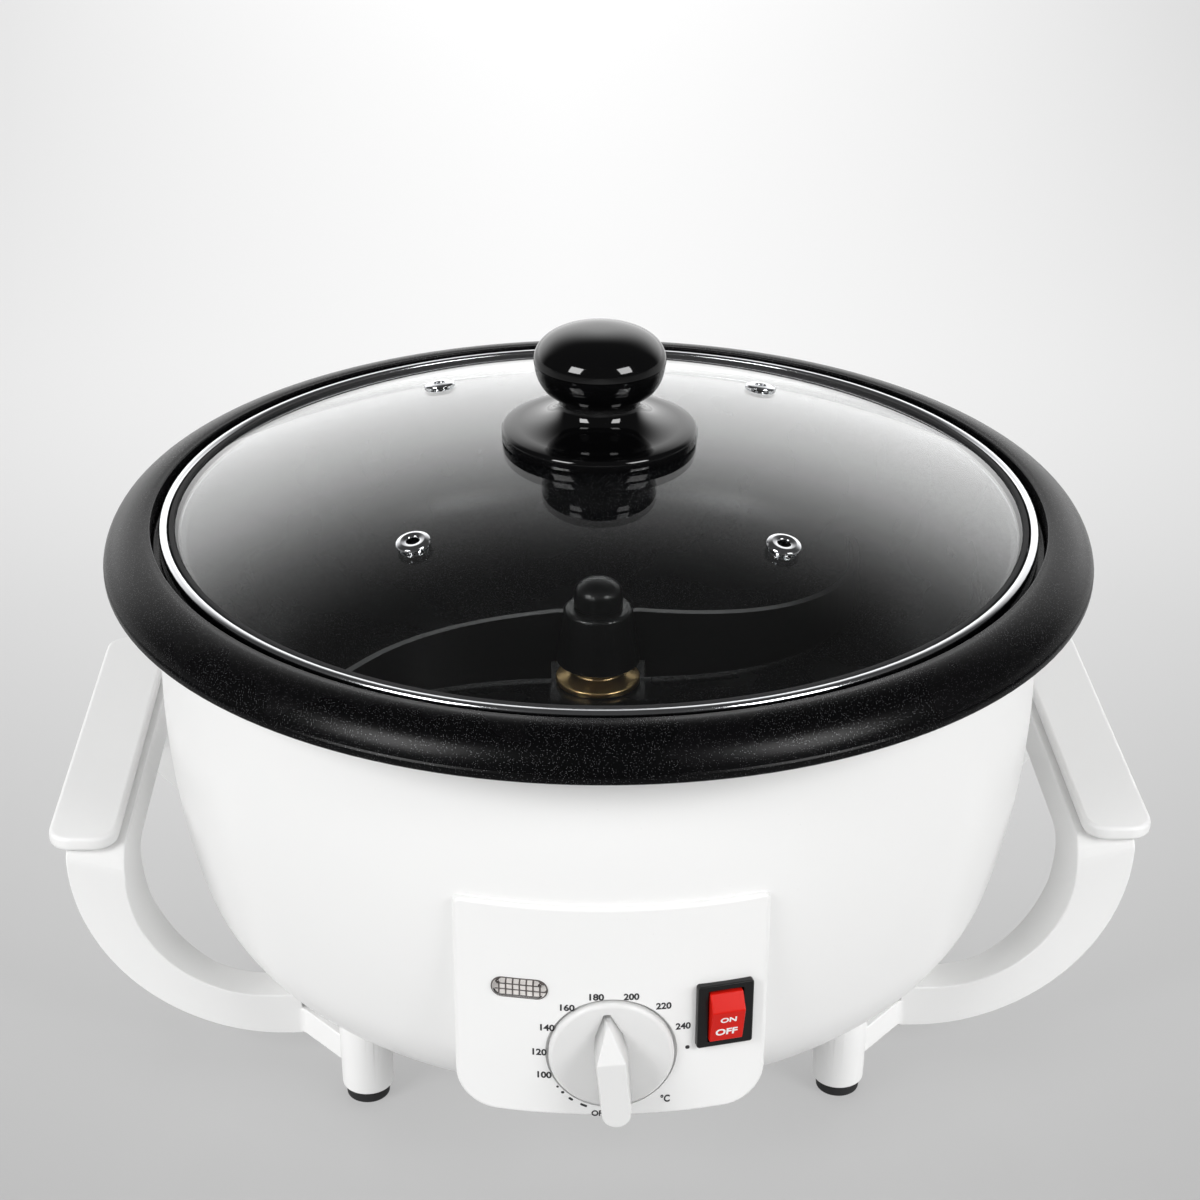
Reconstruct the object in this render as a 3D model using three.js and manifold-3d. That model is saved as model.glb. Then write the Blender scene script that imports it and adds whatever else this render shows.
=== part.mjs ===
import * as THREE from 'three';
import { ConvexGeometry } from 'three/addons/geometries/ConvexGeometry.js';
import { mergeVertices } from 'three/addons/utils/BufferGeometryUtils.js';
import Module from 'manifold-3d';

// Home coffee bean roaster, in millimetres. +Z is up, the front looks to -Y and the feet stand on z = 0.

// Driving dimensions
const rimRadius = 146.5;            // outside of the pan's rim
const rimWidth = 14.1;              // from the rim's outer edge to its inner lip
const rimTop = 157.2;               // the rim's inner lip, above the floor
const rimDrop = 9.6;                // the rim slopes down by this much to its outer edge
const rimOverhang = 14.2;           // the rim stands out past the bowl's widest place by this
const lidPlay = 2.4;                // round the lid, inside the rim's lip
const bowlBottom = 16;              // underside of the white bowl
const bellyHeight = 106;            // height of the bowl's widest place
const bowlWallRadius = 240;         // long curve of the bowl's side
const bowlCornerRadius = 42;        // round lower corner of the bowl
const shellWall = 2.5;
const panWall = 2.5;
const panFloorTop = 96;             // cooking surface, above the floor
const domeRadius = 356;             // sphere that the lid's glass is cut from
const glassThickness = 3.2;
const panelProud = 1.7;             // the control panel's face stands this far out from the belly
const panelHalfWidth = 42;
const panelBottom = 33.8;
const panelTop = 101;
const gripHalfLength = 63.6;        // the side handles reach this far to the front and back
const gripReach = 14.4;             // the handles' caps reach this far out past the rim
const footCentreX = 70;
const footCentreY = 77;
const bellyRadius = rimRadius - rimOverhang;
const grooveRadius = rimRadius - rimWidth;
const lidRadius = grooveRadius - lidPlay;           // outside of the lid's steel ring
const panelFaceRadius = bellyRadius + panelProud;   // the face is a cylinder about the vertical axis
const gripOuter = rimRadius + gripReach;

// Clearances and tessellation
const seatGap = 0.3;                // between pieces that touch
const runningGap = 0.3;             // round a shaft
const overrun = 5;                  // cutters go past what they cut
const largeSides = 36;
const faceSides = 120;
const mediumSides = 24;
const smallSides = 16;
const tinySides = 8;
const weldTolerance = 1e-4;

const wasm = await Module();
wasm.setup();

// Solids: closed meshes that can be joined and cut
function toSolid(geometry) {
  const bare = geometry.clone();
  bare.deleteAttribute('normal');
  bare.deleteAttribute('uv');
  const welded = mergeVertices(bare, weldTolerance);
  const corners = welded.index.array;
  const place = welded.attributes.position;
  const triangles = [];
  let volume = 0;
  const [a, b, c] = [new THREE.Vector3(), new THREE.Vector3(), new THREE.Vector3()];
  for (let i = 0; i < corners.length; i += 3) {
    const [p, q, r] = [corners[i], corners[i + 1], corners[i + 2]];
    if (p === q || q === r || r === p) continue;
    triangles.push(p, q, r);
    a.fromBufferAttribute(place, p);
    b.fromBufferAttribute(place, q);
    c.fromBufferAttribute(place, r);
    volume += a.dot(b.cross(c));
  }
  if (volume < 0) {
    for (let i = 0; i < triangles.length; i += 3) {
      [triangles[i], triangles[i + 1]] = [triangles[i + 1], triangles[i]];
    }
  }
  return new wasm.Manifold(new wasm.Mesh({
    numProp: 3,
    vertProperties: new Float32Array(place.array),
    triVerts: new Uint32Array(triangles),
  }));
}

function toGeometry(solid) {
  const mesh = solid.getMesh();
  const geometry = new THREE.BufferGeometry();
  geometry.setAttribute('position', new THREE.BufferAttribute(new Float32Array(mesh.vertProperties), 3));
  geometry.setIndex(new THREE.BufferAttribute(new Uint32Array(mesh.triVerts), 1));
  geometry.computeVertexNormals();
  return geometry;
}

const join = (first, ...others) => others.reduce((sum, other) => sum.add(other), first);
const cut = (first, ...others) => others.reduce((rest, other) => rest.subtract(other), first);
const common = (first, ...others) => others.reduce((rest, other) => rest.intersect(other), first);

// Points of an arc in a plane, angles in degrees
function arc(centreX, centreY, radius, from, to, steps) {
  const points = [];
  for (let i = 0; i <= steps; i++) {
    const angle = THREE.MathUtils.degToRad(from + (to - from) * i / steps);
    points.push([centreX + radius * Math.cos(angle), centreY + radius * Math.sin(angle)]);
  }
  return points;
}

// A profile of [radius, height] points turned about the vertical axis
function turned(profile, sides) {
  const points = profile.map(([radius, height]) => new THREE.Vector2(radius, height));
  return new THREE.LatheGeometry(points, sides).rotateX(Math.PI / 2);
}

const closed = (profile) => [...profile, profile[0]];
const revolve = (profile, sides) => toSolid(turned(profile, sides));
const revolveRing = (profile, sides) => toSolid(turned(closed(profile), sides));

// A plain round bar along Z between two heights
function bar(radius, low, high, sides, topRadius = radius) {
  return turned([[0, low], [radius, low], [topRadius, high], [0, high]], sides);
}

// An outline of [x, y] points raised along Z between two heights
function raised(outline, low, high) {
  const shape = new THREE.Shape(outline.map(([x, y]) => new THREE.Vector2(x, y)));
  return new THREE.ExtrudeGeometry(shape, { depth: high - low, bevelEnabled: false }).translate(0, 0, low);
}

// An outline of [x, z] points drawn along Y, and one of [y, z] points drawn along X
const alongY = (outline, near, far) => raised(outline, -far, -near).rotateX(Math.PI / 2);
const alongX = (outline, near, far) => raised(outline, near, far).rotateX(Math.PI / 2).rotateZ(Math.PI / 2);

// A round bar along Y through [x, z]
function crossBar(x, z, radius, near, far, sides) {
  return bar(radius, near, far, sides).rotateX(-Math.PI / 2).translate(x, 0, z);
}

// A rectangle with one radius for its lower corners and one for its upper ones
function roundedOutline(left, right, low, high, lowRadius, highRadius, steps) {
  return [
    ...arc(left + lowRadius, low + lowRadius, lowRadius, 180, 270, steps),
    ...arc(right - lowRadius, low + lowRadius, lowRadius, 270, 360, steps),
    ...arc(right - highRadius, high - highRadius, highRadius, 0, 90, steps),
    ...arc(left + highRadius, high - highRadius, highRadius, 90, 180, steps),
  ];
}

// Materials
function finish(color, roughness, metalness) {
  return new THREE.MeshStandardMaterial({ color, roughness, metalness });
}

const whitePlastic = finish(0xf1f0ee, 0.28, 0);
const panCoating = finish(0x1b1b1d, 0.38, 0.15);
const blackPlastic = finish(0x0b0b0c, 0.14, 0);
const blackRubber = finish(0x151515, 0.8, 0);
const steel = finish(0xc9ccd0, 0.16, 1);
const galvanised = finish(0x9a9da0, 0.45, 1);
const brass = finish(0xb08d4f, 0.35, 1);
const redPlastic = finish(0xc01a1c, 0.3, 0);
const lampPlastic = finish(0xdfe3d8, 0.2, 0);
const elementMetal = finish(0x4c4a48, 0.55, 0.8);
const clearGlass = new THREE.MeshStandardMaterial({
  color: 0xe9eeee,
  roughness: 0.03,
  metalness: 0,
  transparent: true,
  opacity: 0.3,
});

const roaster = new THREE.Group();

function piece(name, solid, material, parent = roaster) {
  const mesh = new THREE.Mesh(toGeometry(solid), material);
  mesh.name = name;
  parent.add(mesh);
  return mesh;
}

// Bowl: a long side curve that runs into a round corner and a flat bottom
const wallCentre = bellyRadius - bowlWallRadius;
const cornerHeight = bowlBottom + bowlCornerRadius;
const centresApart = bowlWallRadius - bowlCornerRadius;
const cornerCentre = wallCentre + Math.sqrt(centresApart ** 2 - (bellyHeight - cornerHeight) ** 2);
const tangentAngle = THREE.MathUtils.radToDeg(Math.asin((cornerHeight - bellyHeight) / centresApart));

function bowlCurve(offset, top, cornerSteps, wallSteps) {
  const radius = bowlWallRadius + offset;
  const topAngle = THREE.MathUtils.radToDeg(Math.asin((top - bellyHeight) / radius));
  return [
    ...arc(cornerCentre, cornerHeight, bowlCornerRadius + offset, -90, tangentAngle, cornerSteps),
    ...arc(wallCentre, bellyHeight, radius, tangentAngle, topAngle, wallSteps).slice(1),
  ];
}

// The space that the bowl fills, with a gap round it, for cutting what lies against it
function bowlSpace(gap) {
  return revolve([[0, bowlBottom - gap], ...bowlCurve(gap, rimTop, 6, 5), [0, rimTop]], largeSides);
}

// Pan: a dished pan, a ledge for the lid and a broad rim that hangs over the bowl
const ledgeDrop = 6.6;              // the lid's ledge lies this far under the lip
const lipWidth = 1;
const rimEdge = 2.2;                // height of the rim's outer edge
const rimEdgeRound = 0.5;
const rimBulge = 3.2;               // how far the rim's top stands above its chord
const ledgeWidth = 10.9;            // from the lip in to the pan's mouth
const panWallTaper = 4.5;
const panCornerRadius = 26;
const shaftHoleRadius = 8.3;
const panMouthRadius = grooveRadius - ledgeWidth;
const ledge = rimTop - ledgeDrop;
const ledgeUnder = ledge - panWall;
const panUnder = panFloorTop - panWall;

function rimCurve(offset, steps) {
  const start = new THREE.Vector2(grooveRadius + lipWidth, rimTop);
  const end = new THREE.Vector2(rimRadius, rimTop - rimDrop);
  const chord = end.clone().sub(start);
  const middle = start.clone().lerp(end, 0.5);
  const normal = new THREE.Vector2(-chord.y, chord.x).normalize();
  const half = chord.length() / 2;
  const curveRadius = (half ** 2 + rimBulge ** 2) / (2 * rimBulge);
  const centre = middle.clone().addScaledVector(normal, rimBulge - curveRadius);
  const angleOf = (point) => THREE.MathUtils.radToDeg(Math.atan2(point.y - centre.y, point.x - centre.x));
  return arc(centre.x, centre.y, curveRadius - offset, angleOf(start), angleOf(end), steps);
}

const cornerX = panMouthRadius - panWallTaper - panCornerRadius;
const cornerZ = panFloorTop + panCornerRadius;
const rimUnder = rimCurve(panWall, 3).filter(([radius]) => radius > grooveRadius + panWall);
const pan = revolveRing([
  [shaftHoleRadius, panFloorTop],
  ...arc(cornerX, cornerZ, panCornerRadius, -90, 0, 5),
  [panMouthRadius, ledge],
  [grooveRadius, ledge],
  [grooveRadius, rimTop],
  ...rimCurve(0, 4),
  [rimRadius, rimTop - rimDrop - rimEdge + rimEdgeRound],
  [rimRadius - rimEdgeRound, rimTop - rimDrop - rimEdge],
  ...rimUnder.reverse(),
  [grooveRadius + panWall, ledgeUnder],
  [panMouthRadius + panWall, ledgeUnder],
  ...arc(cornerX, cornerZ, panCornerRadius + panWall, 0, -90, 3),
  [shaftHoleRadius, panUnder],
], largeSides);
piece('pan', pan, panCoating);

// Control panel: a housing with a round face, set on the bowl's front
const panelLowCorner = 11;
const panelHighCorner = 2;
const panelWall = 2.5;
const cornerSteps = 4;
const apertureInset = 6;            // the bowl's window is smaller than the panel by this
const dialRise = 20.9;              // above the panel's bottom
const dialRadius = 17.15;
const dialRecessRadius = 17.75;
const dialRecessDepth = 2.2;
const dialHubRadius = 5.5;
const dialHeight = panelBottom + dialRise;
const dialRecessFloor = panelFaceRadius - dialRecessDepth;
const recessBack = dialRecessFloor - panelWall;
const panelInside = panelFaceRadius - panelWall;
const panelRear = panelFaceRadius / 2;

function panelOutline(inset) {
  return roundedOutline(
    -panelHalfWidth + inset, panelHalfWidth - inset, panelBottom + inset, panelTop - inset,
    Math.max(panelLowCorner - inset, panelHighCorner), panelHighCorner, cornerSteps,
  );
}

const panelColumn = (inset) => toSolid(alongY(panelOutline(inset), -rimRadius, -panelRear));
const uprightCylinder = (radius) => toSolid(bar(radius, 0, rimTop, faceSides));
const panelWindow = panelColumn(apertureInset);
const recessCup = toSolid(crossBar(
  0, dialHeight, dialRecessRadius + panelWall, -rimRadius, -recessBack, mediumSides,
));
const panelHollow = cut(common(panelColumn(panelWall), uprightCylinder(panelInside)), recessCup);
const besideWindow = cut(bowlSpace(seatGap), panelColumn(apertureInset + seatGap));

// Lamp and switch sit square to the panel's face, turned about the vertical axis
const lampAcross = -24.6;
const lampHeight = 74.7;
const lensHalfWidth = 7.6;
const lensHalfHeight = 3.35;
const switchAcross = 30.5;
const switchHeight = 64.9;
const bezelHalfWidth = 7.6;
const bezelHalfHeight = 10.3;
const bezelProud = 1.8;
const bezelLip = 1;                 // the bezel overlaps the panel round its hole
const lampTurn = Math.asin(lampAcross / panelFaceRadius);
const switchTurn = Math.asin(switchAcross / panelFaceRadius);

function ovalOutline(halfWidth, halfHeight, centreZ, steps) {
  const flat = halfWidth - halfHeight;
  return [
    ...arc(flat, centreZ, halfHeight, -90, 90, steps),
    ...arc(-flat, centreZ, halfHeight, 90, 270, steps),
  ];
}

function boxOutline(halfWidth, halfHeight, centreZ) {
  return [
    [-halfWidth, centreZ - halfHeight], [halfWidth, centreZ - halfHeight],
    [halfWidth, centreZ + halfHeight], [-halfWidth, centreZ + halfHeight],
  ];
}

const ovalSteps = 6;
const lampHole = toSolid(alongY(
  ovalOutline(lensHalfWidth + seatGap, lensHalfHeight + seatGap, lampHeight, ovalSteps),
  -rimRadius, -panelRear,
).rotateZ(lampTurn));
const switchHole = toSolid(alongY(
  boxOutline(bezelHalfWidth - bezelLip + seatGap, bezelHalfHeight - bezelLip + seatGap, switchHeight),
  -rimRadius, -panelRear,
).rotateZ(switchTurn));

const panel = cut(
  common(panelColumn(0), uprightCylinder(panelFaceRadius)),
  besideWindow,
  panelHollow,
  toSolid(crossBar(0, dialHeight, dialRecessRadius, -rimRadius, -dialRecessFloor, mediumSides)),
  toSolid(crossBar(0, dialHeight, dialHubRadius + runningGap, -rimRadius, -panelRear, smallSides)),
  lampHole,
  switchHole,
);
piece('control_panel', panel, whitePlastic);

// Cord gland: a collar at the rear with an empty cord bore
const glandHeight = 60;
const glandRadius = 6;
const glandCollarRadius = 9;
const glandBoreRadius = 3.2;
const glandProud = 2.7;             // past the belly
const glandLength = 16;
const collarLength = 13;
const glandOutside = bellyRadius + glandProud;
const glandInside = glandOutside - glandLength;
const collarInside = glandOutside - collarLength;
const gland = cut(
  join(
    cut(
      toSolid(crossBar(0, glandHeight, glandCollarRadius, collarInside, glandOutside, smallSides)),
      bowlSpace(seatGap),
    ),
    toSolid(crossBar(0, glandHeight, glandRadius, glandInside, glandOutside, smallSides)),
  ),
  toSolid(crossBar(
    0, glandHeight, glandBoreRadius, glandInside - overrun, glandOutside + overrun, tinySides,
  )),
);
piece('cord_gland', gland, blackRubber);

// Bowl shell, open at the top for the pan and at the bottom for the base plate
const shellTop = ledgeUnder - seatGap;
const bottomOpeningRadius = 52;
const shell = cut(
  revolveRing([
    [bottomOpeningRadius, bowlBottom],
    ...bowlCurve(0, shellTop, 6, 5),
    ...bowlCurve(-shellWall, shellTop, 3, 3).reverse(),
    [bottomOpeningRadius, bowlBottom + shellWall],
  ], largeSides),
  panelWindow,
  toSolid(crossBar(0, glandHeight, glandRadius + seatGap, panelRear, rimRadius, smallSides)),
);
piece('bowl_shell', shell, whitePlastic);

// Base plate with a ring of vent slots, under the bowl's bottom opening
const basePlateRadius = 60;
const basePlateThickness = 2.5;
const ventCount = 12;
const ventInner = 22;
const ventOuter = 44;
const ventHalfWidth = 2.5;
const plateScrewCount = 4;
const plateScrewCircle = 56;
const plateScrewRadius = 1.8;
const basePlateTop = bowlBottom - seatGap;
const basePlateUnder = basePlateTop - basePlateThickness;
const ventOutline = [
  ...arc(ventOuter - ventHalfWidth, 0, ventHalfWidth, -90, 90, 2),
  ...arc(ventInner + ventHalfWidth, 0, ventHalfWidth, 90, 270, 2),
];
let basePlate = toSolid(bar(basePlateRadius, basePlateUnder, basePlateTop, largeSides));
for (let i = 0; i < ventCount; i++) {
  const vent = raised(ventOutline, basePlateUnder - overrun, basePlateTop + overrun);
  basePlate = cut(basePlate, toSolid(vent.rotateZ(2 * Math.PI * i / ventCount)));
}
for (let i = 0; i < plateScrewCount; i++) {
  const hole = bar(plateScrewRadius, basePlateUnder - overrun, basePlateTop + overrun, tinySides);
  const turn = 2 * Math.PI * (i + 0.5) / plateScrewCount;
  basePlate = cut(basePlate, toSolid(hole.translate(plateScrewCircle, 0, 0).rotateZ(turn)));
}
piece('base_plate', basePlate, whitePlastic);

// Side frames: front and rear arms, grip bar, webs, base bar and foot posts in one moulding
const armOuterRadius = 61.1;        // outer curve of an arm, seen from the front
const armOuterCentreZ = 72.2;
const armInnerRadius = 39.3;        // inner curve of an arm
const armInnerCentreZ = 64.2;
const armStraight = 4.7;            // level end of an arm, inside its curve
const capThickness = 4.5;
const capWidth = 20;
const capOverOuter = 5.3;           // the cap stands out past the arm by this
const capOverInner = 2.1;           // the arm stands in past the cap by this
const capTop = 80.5;
const gripUnder = 66;
const armDepthLow = 12;             // an arm's depth from front to back, at the bottom
const armDepthHigh = 22;            // and where it meets the grip bar
const armWidenStart = 30;
const gripFillet = 10;
const webUnder = 11.6;
const webTop = 20.3;
const webFront = 8;                 // from the foot's centre out to the web's corner
const baseBarIn = 8;                // base bar, inside and outside the feet's centre line
const baseBarOut = 10;
const baseBarHalfLength = 42;
const postRadius = 7.85;
const postFootRadius = 7.5;
const footHeight = 3.4;
const footRadius = 6.55;
const footStemRadius = 3;
const footStemHeight = 5;
const postBottom = footHeight + seatGap;
const gripTop = capTop - capThickness - seatGap;
const capInner = gripOuter - capWidth;
const armOuterCentreX = gripOuter - capOverOuter - armOuterRadius;
const armInnerCentreX = capInner - capOverInner - armInnerRadius;
const armEndX = armOuterCentreX - armStraight;
const baseBarInner = footCentreX - baseBarIn;
const baseBarOuter = footCentreX + baseBarOut;
const armBottom = armOuterCentreZ - armOuterRadius;
const armFrontLow = gripHalfLength - armDepthLow;
const armFrontHigh = gripHalfLength - armDepthHigh;

function sideFrameSolid() {
  const sideOutline = [
    [armEndX, armBottom],
    ...arc(armOuterCentreX, armOuterCentreZ, armOuterRadius, -90, 0, 10),
    [armOuterCentreX + armOuterRadius, gripTop],
    [armInnerCentreX + armInnerRadius, gripTop],
    ...arc(armInnerCentreX, armInnerCentreZ, armInnerRadius, 0, -90, 7),
    [armEndX, armInnerCentreZ - armInnerRadius],
  ];
  const filletCentre = gripUnder - gripFillet;
  const handOutline = [
    [armFrontLow, armBottom - overrun],
    [armFrontLow, armWidenStart],
    ...arc(armFrontHigh - gripFillet, filletCentre, gripFillet, 0, 90, 5),
    ...arc(gripFillet - armFrontHigh, filletCentre, gripFillet, 90, 180, 5),
    [-armFrontLow, armWidenStart],
    [-armFrontLow, armBottom - overrun],
  ];
  const webOutline = [
    [armOuterCentreX, armFrontLow], [armEndX, gripHalfLength], [footCentreX + webFront, footCentreY],
    [footCentreX, footCentreY], [baseBarInner, baseBarHalfLength], [baseBarOuter, baseBarHalfLength],
  ];
  const webs = [1, -1].map((end) => toSolid(new ConvexGeometry(webOutline.flatMap(([x, y]) => [
    new THREE.Vector3(x, end * y, webUnder), new THREE.Vector3(x, end * y, webTop),
  ]))));
  const posts = [1, -1].map((end) => cut(
    toSolid(bar(postFootRadius, postBottom, webTop + overrun, smallSides, postRadius)
      .translate(footCentreX, end * footCentreY, 0)),
    toSolid(bar(footStemRadius + seatGap, 0, footHeight + footStemHeight + seatGap, tinySides)
      .translate(footCentreX, end * footCentreY, 0)),
  ));
  const arms = cut(
    toSolid(alongY(sideOutline, -gripHalfLength, gripHalfLength)),
    toSolid(alongX(handOutline, baseBarInner, gripOuter + overrun)),
  );
  const baseBar = toSolid(raised([
    [baseBarInner, -baseBarHalfLength], [baseBarOuter, -baseBarHalfLength],
    [baseBarOuter, baseBarHalfLength], [baseBarInner, baseBarHalfLength],
  ], webUnder, webTop));
  return cut(join(arms, baseBar, ...webs, ...posts), bowlSpace(seatGap));
}

const mirrorX = (solid) => toSolid(toGeometry(solid).scale(-1, 1, 1));
const rightFrame = sideFrameSolid();
piece('side_frame_right', rightFrame, whitePlastic);
piece('side_frame_left', mirrorX(rightFrame), whitePlastic);

// Grip caps, with a round edge that hangs over the arms
const capCorner = 9;
const capEdge = 1.5;
const capMargin = 0.1;              // the cap is this much longer than the grip at each end
const capBevelSegments = 2;

function gripCapSolid() {
  const outline = roundedOutline(
    capInner + capEdge, gripOuter - capEdge,
    -gripHalfLength - capMargin + capEdge, gripHalfLength + capMargin - capEdge,
    capCorner - capEdge, capCorner - capEdge, cornerSteps,
  );
  const shape = new THREE.Shape(outline.map(([x, y]) => new THREE.Vector2(x, y)));
  const body = new THREE.ExtrudeGeometry(shape, {
    depth: capThickness - 2 * capEdge,
    bevelThickness: capEdge,
    bevelSize: capEdge,
    bevelSegments: capBevelSegments,
  });
  return toSolid(body.translate(0, 0, capTop - capThickness + capEdge));
}

const rightCap = gripCapSolid();
piece('grip_cap_right', rightCap, whitePlastic);
piece('grip_cap_left', mirrorX(rightCap), whitePlastic);

// Rubber feet with a stem in each post
const footPlaces = [
  ['front_right', 1, -1], ['front_left', -1, -1], ['rear_right', 1, 1], ['rear_left', -1, 1],
];
for (const [place, side, end] of footPlaces) {
  const foot = revolve([
    [0, 0], [footRadius, 0], [footRadius, footHeight], [footStemRadius, footHeight],
    [footStemRadius, footHeight + footStemHeight], [0, footHeight + footStemHeight],
  ], smallSides);
  piece(`foot_${place}`, foot, blackRubber).position.set(side * footCentreX, end * footCentreY, 0);
}

// Lid: domed glass in a steel ring, with a seal between them
const ringWidth = 2.7;
const ringRound = 0.8;
const ringLip = 4.3;                // the ring's lower lip, inside its upright wall
const ringLipThickness = 0.8;
const sealWidth = 1.5;
const sealLipThickness = 0.8;
const studHoleRadius = 3.4;
const glassSink = 0.84;             // the glass's edge lies this far under the ring's top
const ringInner = lidRadius - ringWidth;
const ringLipInner = ringInner - ringLip;
const ringUnder = ledge + seatGap;
const sealOuter = ringInner - seatGap;
const glassEdge = sealOuter - sealWidth - seatGap;
const sphereCentre = rimTop - glassSink - Math.sqrt(domeRadius ** 2 - glassEdge ** 2);
const domeTop = sphereCentre + domeRadius;

function glassHeight(radius, offset = 0) {
  return sphereCentre + Math.sqrt((domeRadius + offset) ** 2 - radius ** 2);
}

const glassUnderEdge = glassHeight(glassEdge, -glassThickness);
const sealUnder = ringUnder + ringLipThickness + seatGap;
const sealLipTop = glassUnderEdge - seatGap;
const sealTop = glassHeight(glassEdge) + sealLipThickness;
const domeSteps = 5;

function domeCurve(offset, inner, outer) {
  const radius = domeRadius + offset;
  const angleOf = (distance) => THREE.MathUtils.radToDeg(Math.acos(distance / radius));
  return arc(0, sphereCentre, radius, angleOf(inner), angleOf(outer), domeSteps);
}

// Steel eyelets in the glass, where the steam leaves
const eyeletCircle = 77.75;
const eyeletAngle = 40.9;           // degrees from the front and back
const halfTurn = 180;
const lidTurn = -1.9;               // degrees that the lid lies turned
const eyeletRadius = 5;
const eyeletHole = 1.85;
const eyeletBarrel = 2.6;
const eyeletFlange = 0.8;
const eyeletRoll = 0.5;
const eyeletUnderRadius = 4;
const eyeletTilt = Math.asin(eyeletCircle / domeRadius);
const eyeletTop = domeRadius + seatGap;
const eyeletUnder = domeRadius - glassThickness - seatGap;

function eyeletFrame(index) {
  const place = [1, -1, 1, -1][index] * eyeletAngle + [0, 0, halfTurn, halfTurn][index];
  const turn = THREE.MathUtils.degToRad(place + lidTurn);
  return new THREE.Matrix4().makeTranslation(0, 0, sphereCentre)
    .multiply(new THREE.Matrix4().makeRotationZ(turn))
    .multiply(new THREE.Matrix4().makeRotationX(eyeletTilt));
}

let glass = revolveRing([
  ...domeCurve(0, studHoleRadius, glassEdge),
  ...domeCurve(-glassThickness, studHoleRadius, glassEdge).reverse(),
], largeSides);
const eyeletNames = ['front_right', 'front_left', 'rear_left', 'rear_right'];
const eyeletSolid = revolveRing([
  [eyeletHole, eyeletUnder - eyeletFlange + eyeletRoll],
  [eyeletHole + eyeletRoll, eyeletUnder - eyeletFlange],
  [eyeletUnderRadius, eyeletUnder - eyeletFlange], [eyeletUnderRadius, eyeletUnder],
  [eyeletBarrel, eyeletUnder], [eyeletBarrel, eyeletTop],
  [eyeletRadius, eyeletTop], [eyeletRadius - eyeletRoll, eyeletTop + eyeletFlange],
  [eyeletHole + eyeletRoll, eyeletTop + eyeletFlange], [eyeletHole, eyeletTop + eyeletFlange - eyeletRoll],
], tinySides);
eyeletNames.forEach((place, index) => {
  const hole = bar(
    eyeletBarrel + seatGap, domeRadius - glassThickness - overrun, domeRadius + overrun, tinySides,
  );
  glass = cut(glass, toSolid(hole.applyMatrix4(eyeletFrame(index))));
  piece(`lid_eyelet_${place}`, eyeletSolid, steel).applyMatrix4(eyeletFrame(index));
});
piece('lid_glass', glass, clearGlass);

const lidRing = revolveRing([
  [ringLipInner, ringUnder],
  [lidRadius - ringRound, ringUnder],
  [lidRadius, ringUnder + ringRound],
  [lidRadius, rimTop - ringRound],
  [lidRadius - ringRound, rimTop],
  [ringInner + ringRound, rimTop],
  [ringInner, rimTop - ringRound],
  [ringInner, ringUnder + ringLipThickness],
  [ringLipInner, ringUnder + ringLipThickness],
], largeSides);
piece('lid_ring', lidRing, steel);

const lidSeal = revolveRing([
  [ringLipInner, sealUnder],
  [sealOuter, sealUnder],
  [sealOuter, sealTop],
  [sealOuter - sealWidth, sealTop],
  [sealOuter - sealWidth, sealLipTop],
  [ringLipInner, sealLipTop],
], largeSides);
piece('lid_seal', lidSeal, blackRubber);

// Lid knob, its gasket above the glass, and the screw and washer that hold it from below
const knobSkirtRadius = 28.9;
const knobSkirtEdge = 3.7;
const knobNeckRadius = 11.8;
const knobNeckRise = 10.4;          // heights above the glass's top
const knobHeadRise = 12.6;
const knobMiddleRise = 23.4;
const knobRise = 35.1;
const knobHeadRadius = 19.3;
const knobSkirtRound = 1.2;
const gasketRadius = 22;
const gasketThickness = 1.2;
const screwRadius = 2.5;
const screwHeadRadius = 4.8;
const screwHeadHeight = 2.6;
const screwLength = 22;
const washerRadius = 9;
const washerThickness = 1.4;
const knobBottom = glassHeight(knobSkirtRadius) + seatGap;
const gasketTop = domeTop + seatGap + gasketThickness;
const knobCeiling = gasketTop + seatGap;
const screwTop = knobBottom + screwLength - glassThickness;
const glassUnder = glassHeight(0, -glassThickness);
const washerTop = glassUnder - seatGap;
const washerUnder = washerTop - washerThickness;
const screwHeadTop = washerUnder - seatGap;
const knobTop = domeTop + knobRise;
const flareSteps = 3;
const headSteps = 4;

// A quarter of an ellipse between two points, bulging towards one of them in radius
function quarter(fromRadius, fromHeight, toRadius, toHeight, steps, roundFirst) {
  const points = [];
  for (let i = 0; i <= steps; i++) {
    const angle = Math.PI / 2 * i / steps;
    const share = roundFirst ? Math.sin(angle) : 1 - Math.cos(angle);
    const rise = roundFirst ? 1 - Math.cos(angle) : Math.sin(angle);
    points.push([fromRadius + (toRadius - fromRadius) * share, fromHeight + (toHeight - fromHeight) * rise]);
  }
  return points;
}

const knob = revolve([
  [0, screwTop + seatGap],
  [screwRadius + seatGap, screwTop + seatGap],
  [screwRadius + seatGap, knobCeiling],
  [gasketRadius + seatGap, knobCeiling],
  [gasketRadius + seatGap, glassHeight(gasketRadius + seatGap) + seatGap],
  [knobSkirtRadius, knobBottom],
  [knobSkirtRadius, knobBottom + knobSkirtEdge - knobSkirtRound],
  [knobSkirtRadius - knobSkirtRound, knobBottom + knobSkirtEdge],
  ...quarter(
    knobSkirtRadius - 2 * knobSkirtRound, knobBottom + knobSkirtEdge,
    knobNeckRadius, domeTop + knobNeckRise, flareSteps, true,
  ),
  ...quarter(
    knobNeckRadius, domeTop + knobHeadRise, knobHeadRadius, domeTop + knobMiddleRise, headSteps, true,
  ),
  ...quarter(knobHeadRadius, domeTop + knobMiddleRise, 0, knobTop, headSteps, false),
], mediumSides);
piece('lid_knob', knob, blackPlastic);

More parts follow.
